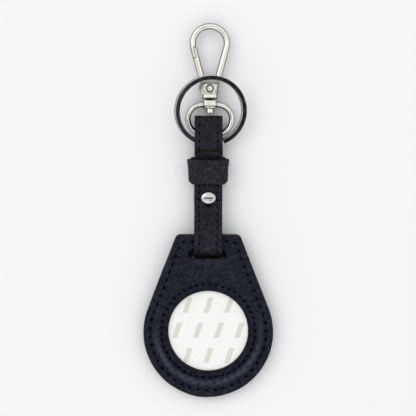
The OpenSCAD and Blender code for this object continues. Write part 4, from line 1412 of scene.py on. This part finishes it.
# %% Floor, dome and cards
def plane(name, x0, y0, x1, y1, z):
    """A flat level rectangle of the stage, in metres."""
    mesh = bpy.data.meshes.new(name)
    mesh.from_pydata([(x0, y0, z), (x1, y0, z), (x1, y1, z), (x0, y1, z)], [], [(0, 1, 2, 3)])
    made = new_object(name, mesh)
    made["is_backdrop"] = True
    return made


floor = plane("floor", -3, -3, 3, 3, -0.00005)
made, tree, shader, where = new_material("pale matt floor")
set_inputs(tree, shader, {"Base Color": linear("#f2f3f5"), "Roughness": 0.85,
                          "Specular IOR Level": 0.15})
floor.data.materials.append(made)

# The cards glow faintly, paler towards one side, instead of being lit: reflections show this glow.
made, tree, shader, where = new_material("dark card")
side = add(tree, "ShaderNodeSeparateXYZ", {0: where}).outputs["X"]
glow = mixed(tree, ranged(tree, side, 0.088, 0.118, 0.0, 1.0), linear("#3c3c40"),
             linear("#191a1f"))
set_inputs(tree, shader, {"Base Color": linear("#000000"), "Specular IOR Level": 0.0,
                          "Emission Color": glow, "Emission Strength": 1.0})
for name, corners in (("ceiling_card", (0.060, -0.200, 0.160, -0.088, 0.5)),
                      ("boom_card", (-0.30, -0.075, 0.30, 0.055, 0.6))):
    card = plane(name, *corners)
    card.data.materials.append(made)
    for seen in ("camera", "diffuse", "shadow", "transmission", "volume_scatter"):
        setattr(card, "visible_" + seen, False)

world = bpy.data.worlds.new("studio")
bpy.context.scene.world = world
world.use_nodes = True
tree = world.node_tree
tree.nodes.clear()
direction = add(tree, "ShaderNodeTexCoord").outputs["Generated"]
upward = add(tree, "ShaderNodeSeparateXYZ", {0: direction}).outputs["Z"]
dome_colour = mixed(tree, ranged(tree, upward, 0.04, 0.42, 0.0, 1.0), linear("#3a3228"),
                    linear("#ffffff"))
backdrop = mixed(tree, add(tree, "ShaderNodeLightPath").outputs["Is Camera Ray"], dome_colour,
                 linear("#f1f2f4"))
light = add(tree, "ShaderNodeBackground", {"Color": backdrop, "Strength": 1.0})
add(tree, "ShaderNodeOutputWorld", {"Surface": light.outputs[0]})

# %% [markdown]
# ## Lamps
#
# Two broad lamps give the light its little direction: a key from the upper left and a weaker one
# from below. They are large, so their shadows stay soft.


# %% Lamps
def lamp(name, place, size, power):
    """A square area lamp that looks at the origin."""
    data = bpy.data.lights.new(name, "AREA")
    data.size, data.energy = size, power
    made = new_object(name, data)
    made.location = place
    made.rotation_mode = "QUATERNION"
    made.rotation_quaternion = made.location.to_track_quat("Z", "Y")


lamp("key_lamp", (-0.7, 0.5, 0.9), 0.7, 1.7)
lamp("fill_lamp", (-0.2, -0.9, 0.7), 0.8, 0.5)

# %% [markdown]
# ## The camera
#
# The camera looks straight down from 0.9 m. Its lens is set so that 168.35 mm fill the frame at
# the height of the holder's face, which is the scale that the window's size gives.

# %% Camera
HALF_VIEW, CAMERA_Z, OBJECT_Z = 0.084175, 0.9, 0.003
lens = bpy.data.cameras.new("camera")
lens.sensor_width = 36
lens.lens = lens.sensor_width / 2 / (HALF_VIEW / (CAMERA_Z - OBJECT_Z))
lens.clip_start, lens.clip_end = 0.01, 20
camera = new_object("camera", lens)
camera.location = (-0.00008, 0.0009, CAMERA_Z)
bpy.context.scene.camera = camera
bpy.context.scene.view_settings.view_transform = "Standard"

# %% [markdown]
#
# The dressed model stays in the imported model's box. The last lines print its size.

# %% Finish
low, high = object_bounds()
print("visual box", [round(1000 * (b - a), 2) for a, b in zip(low, high)])
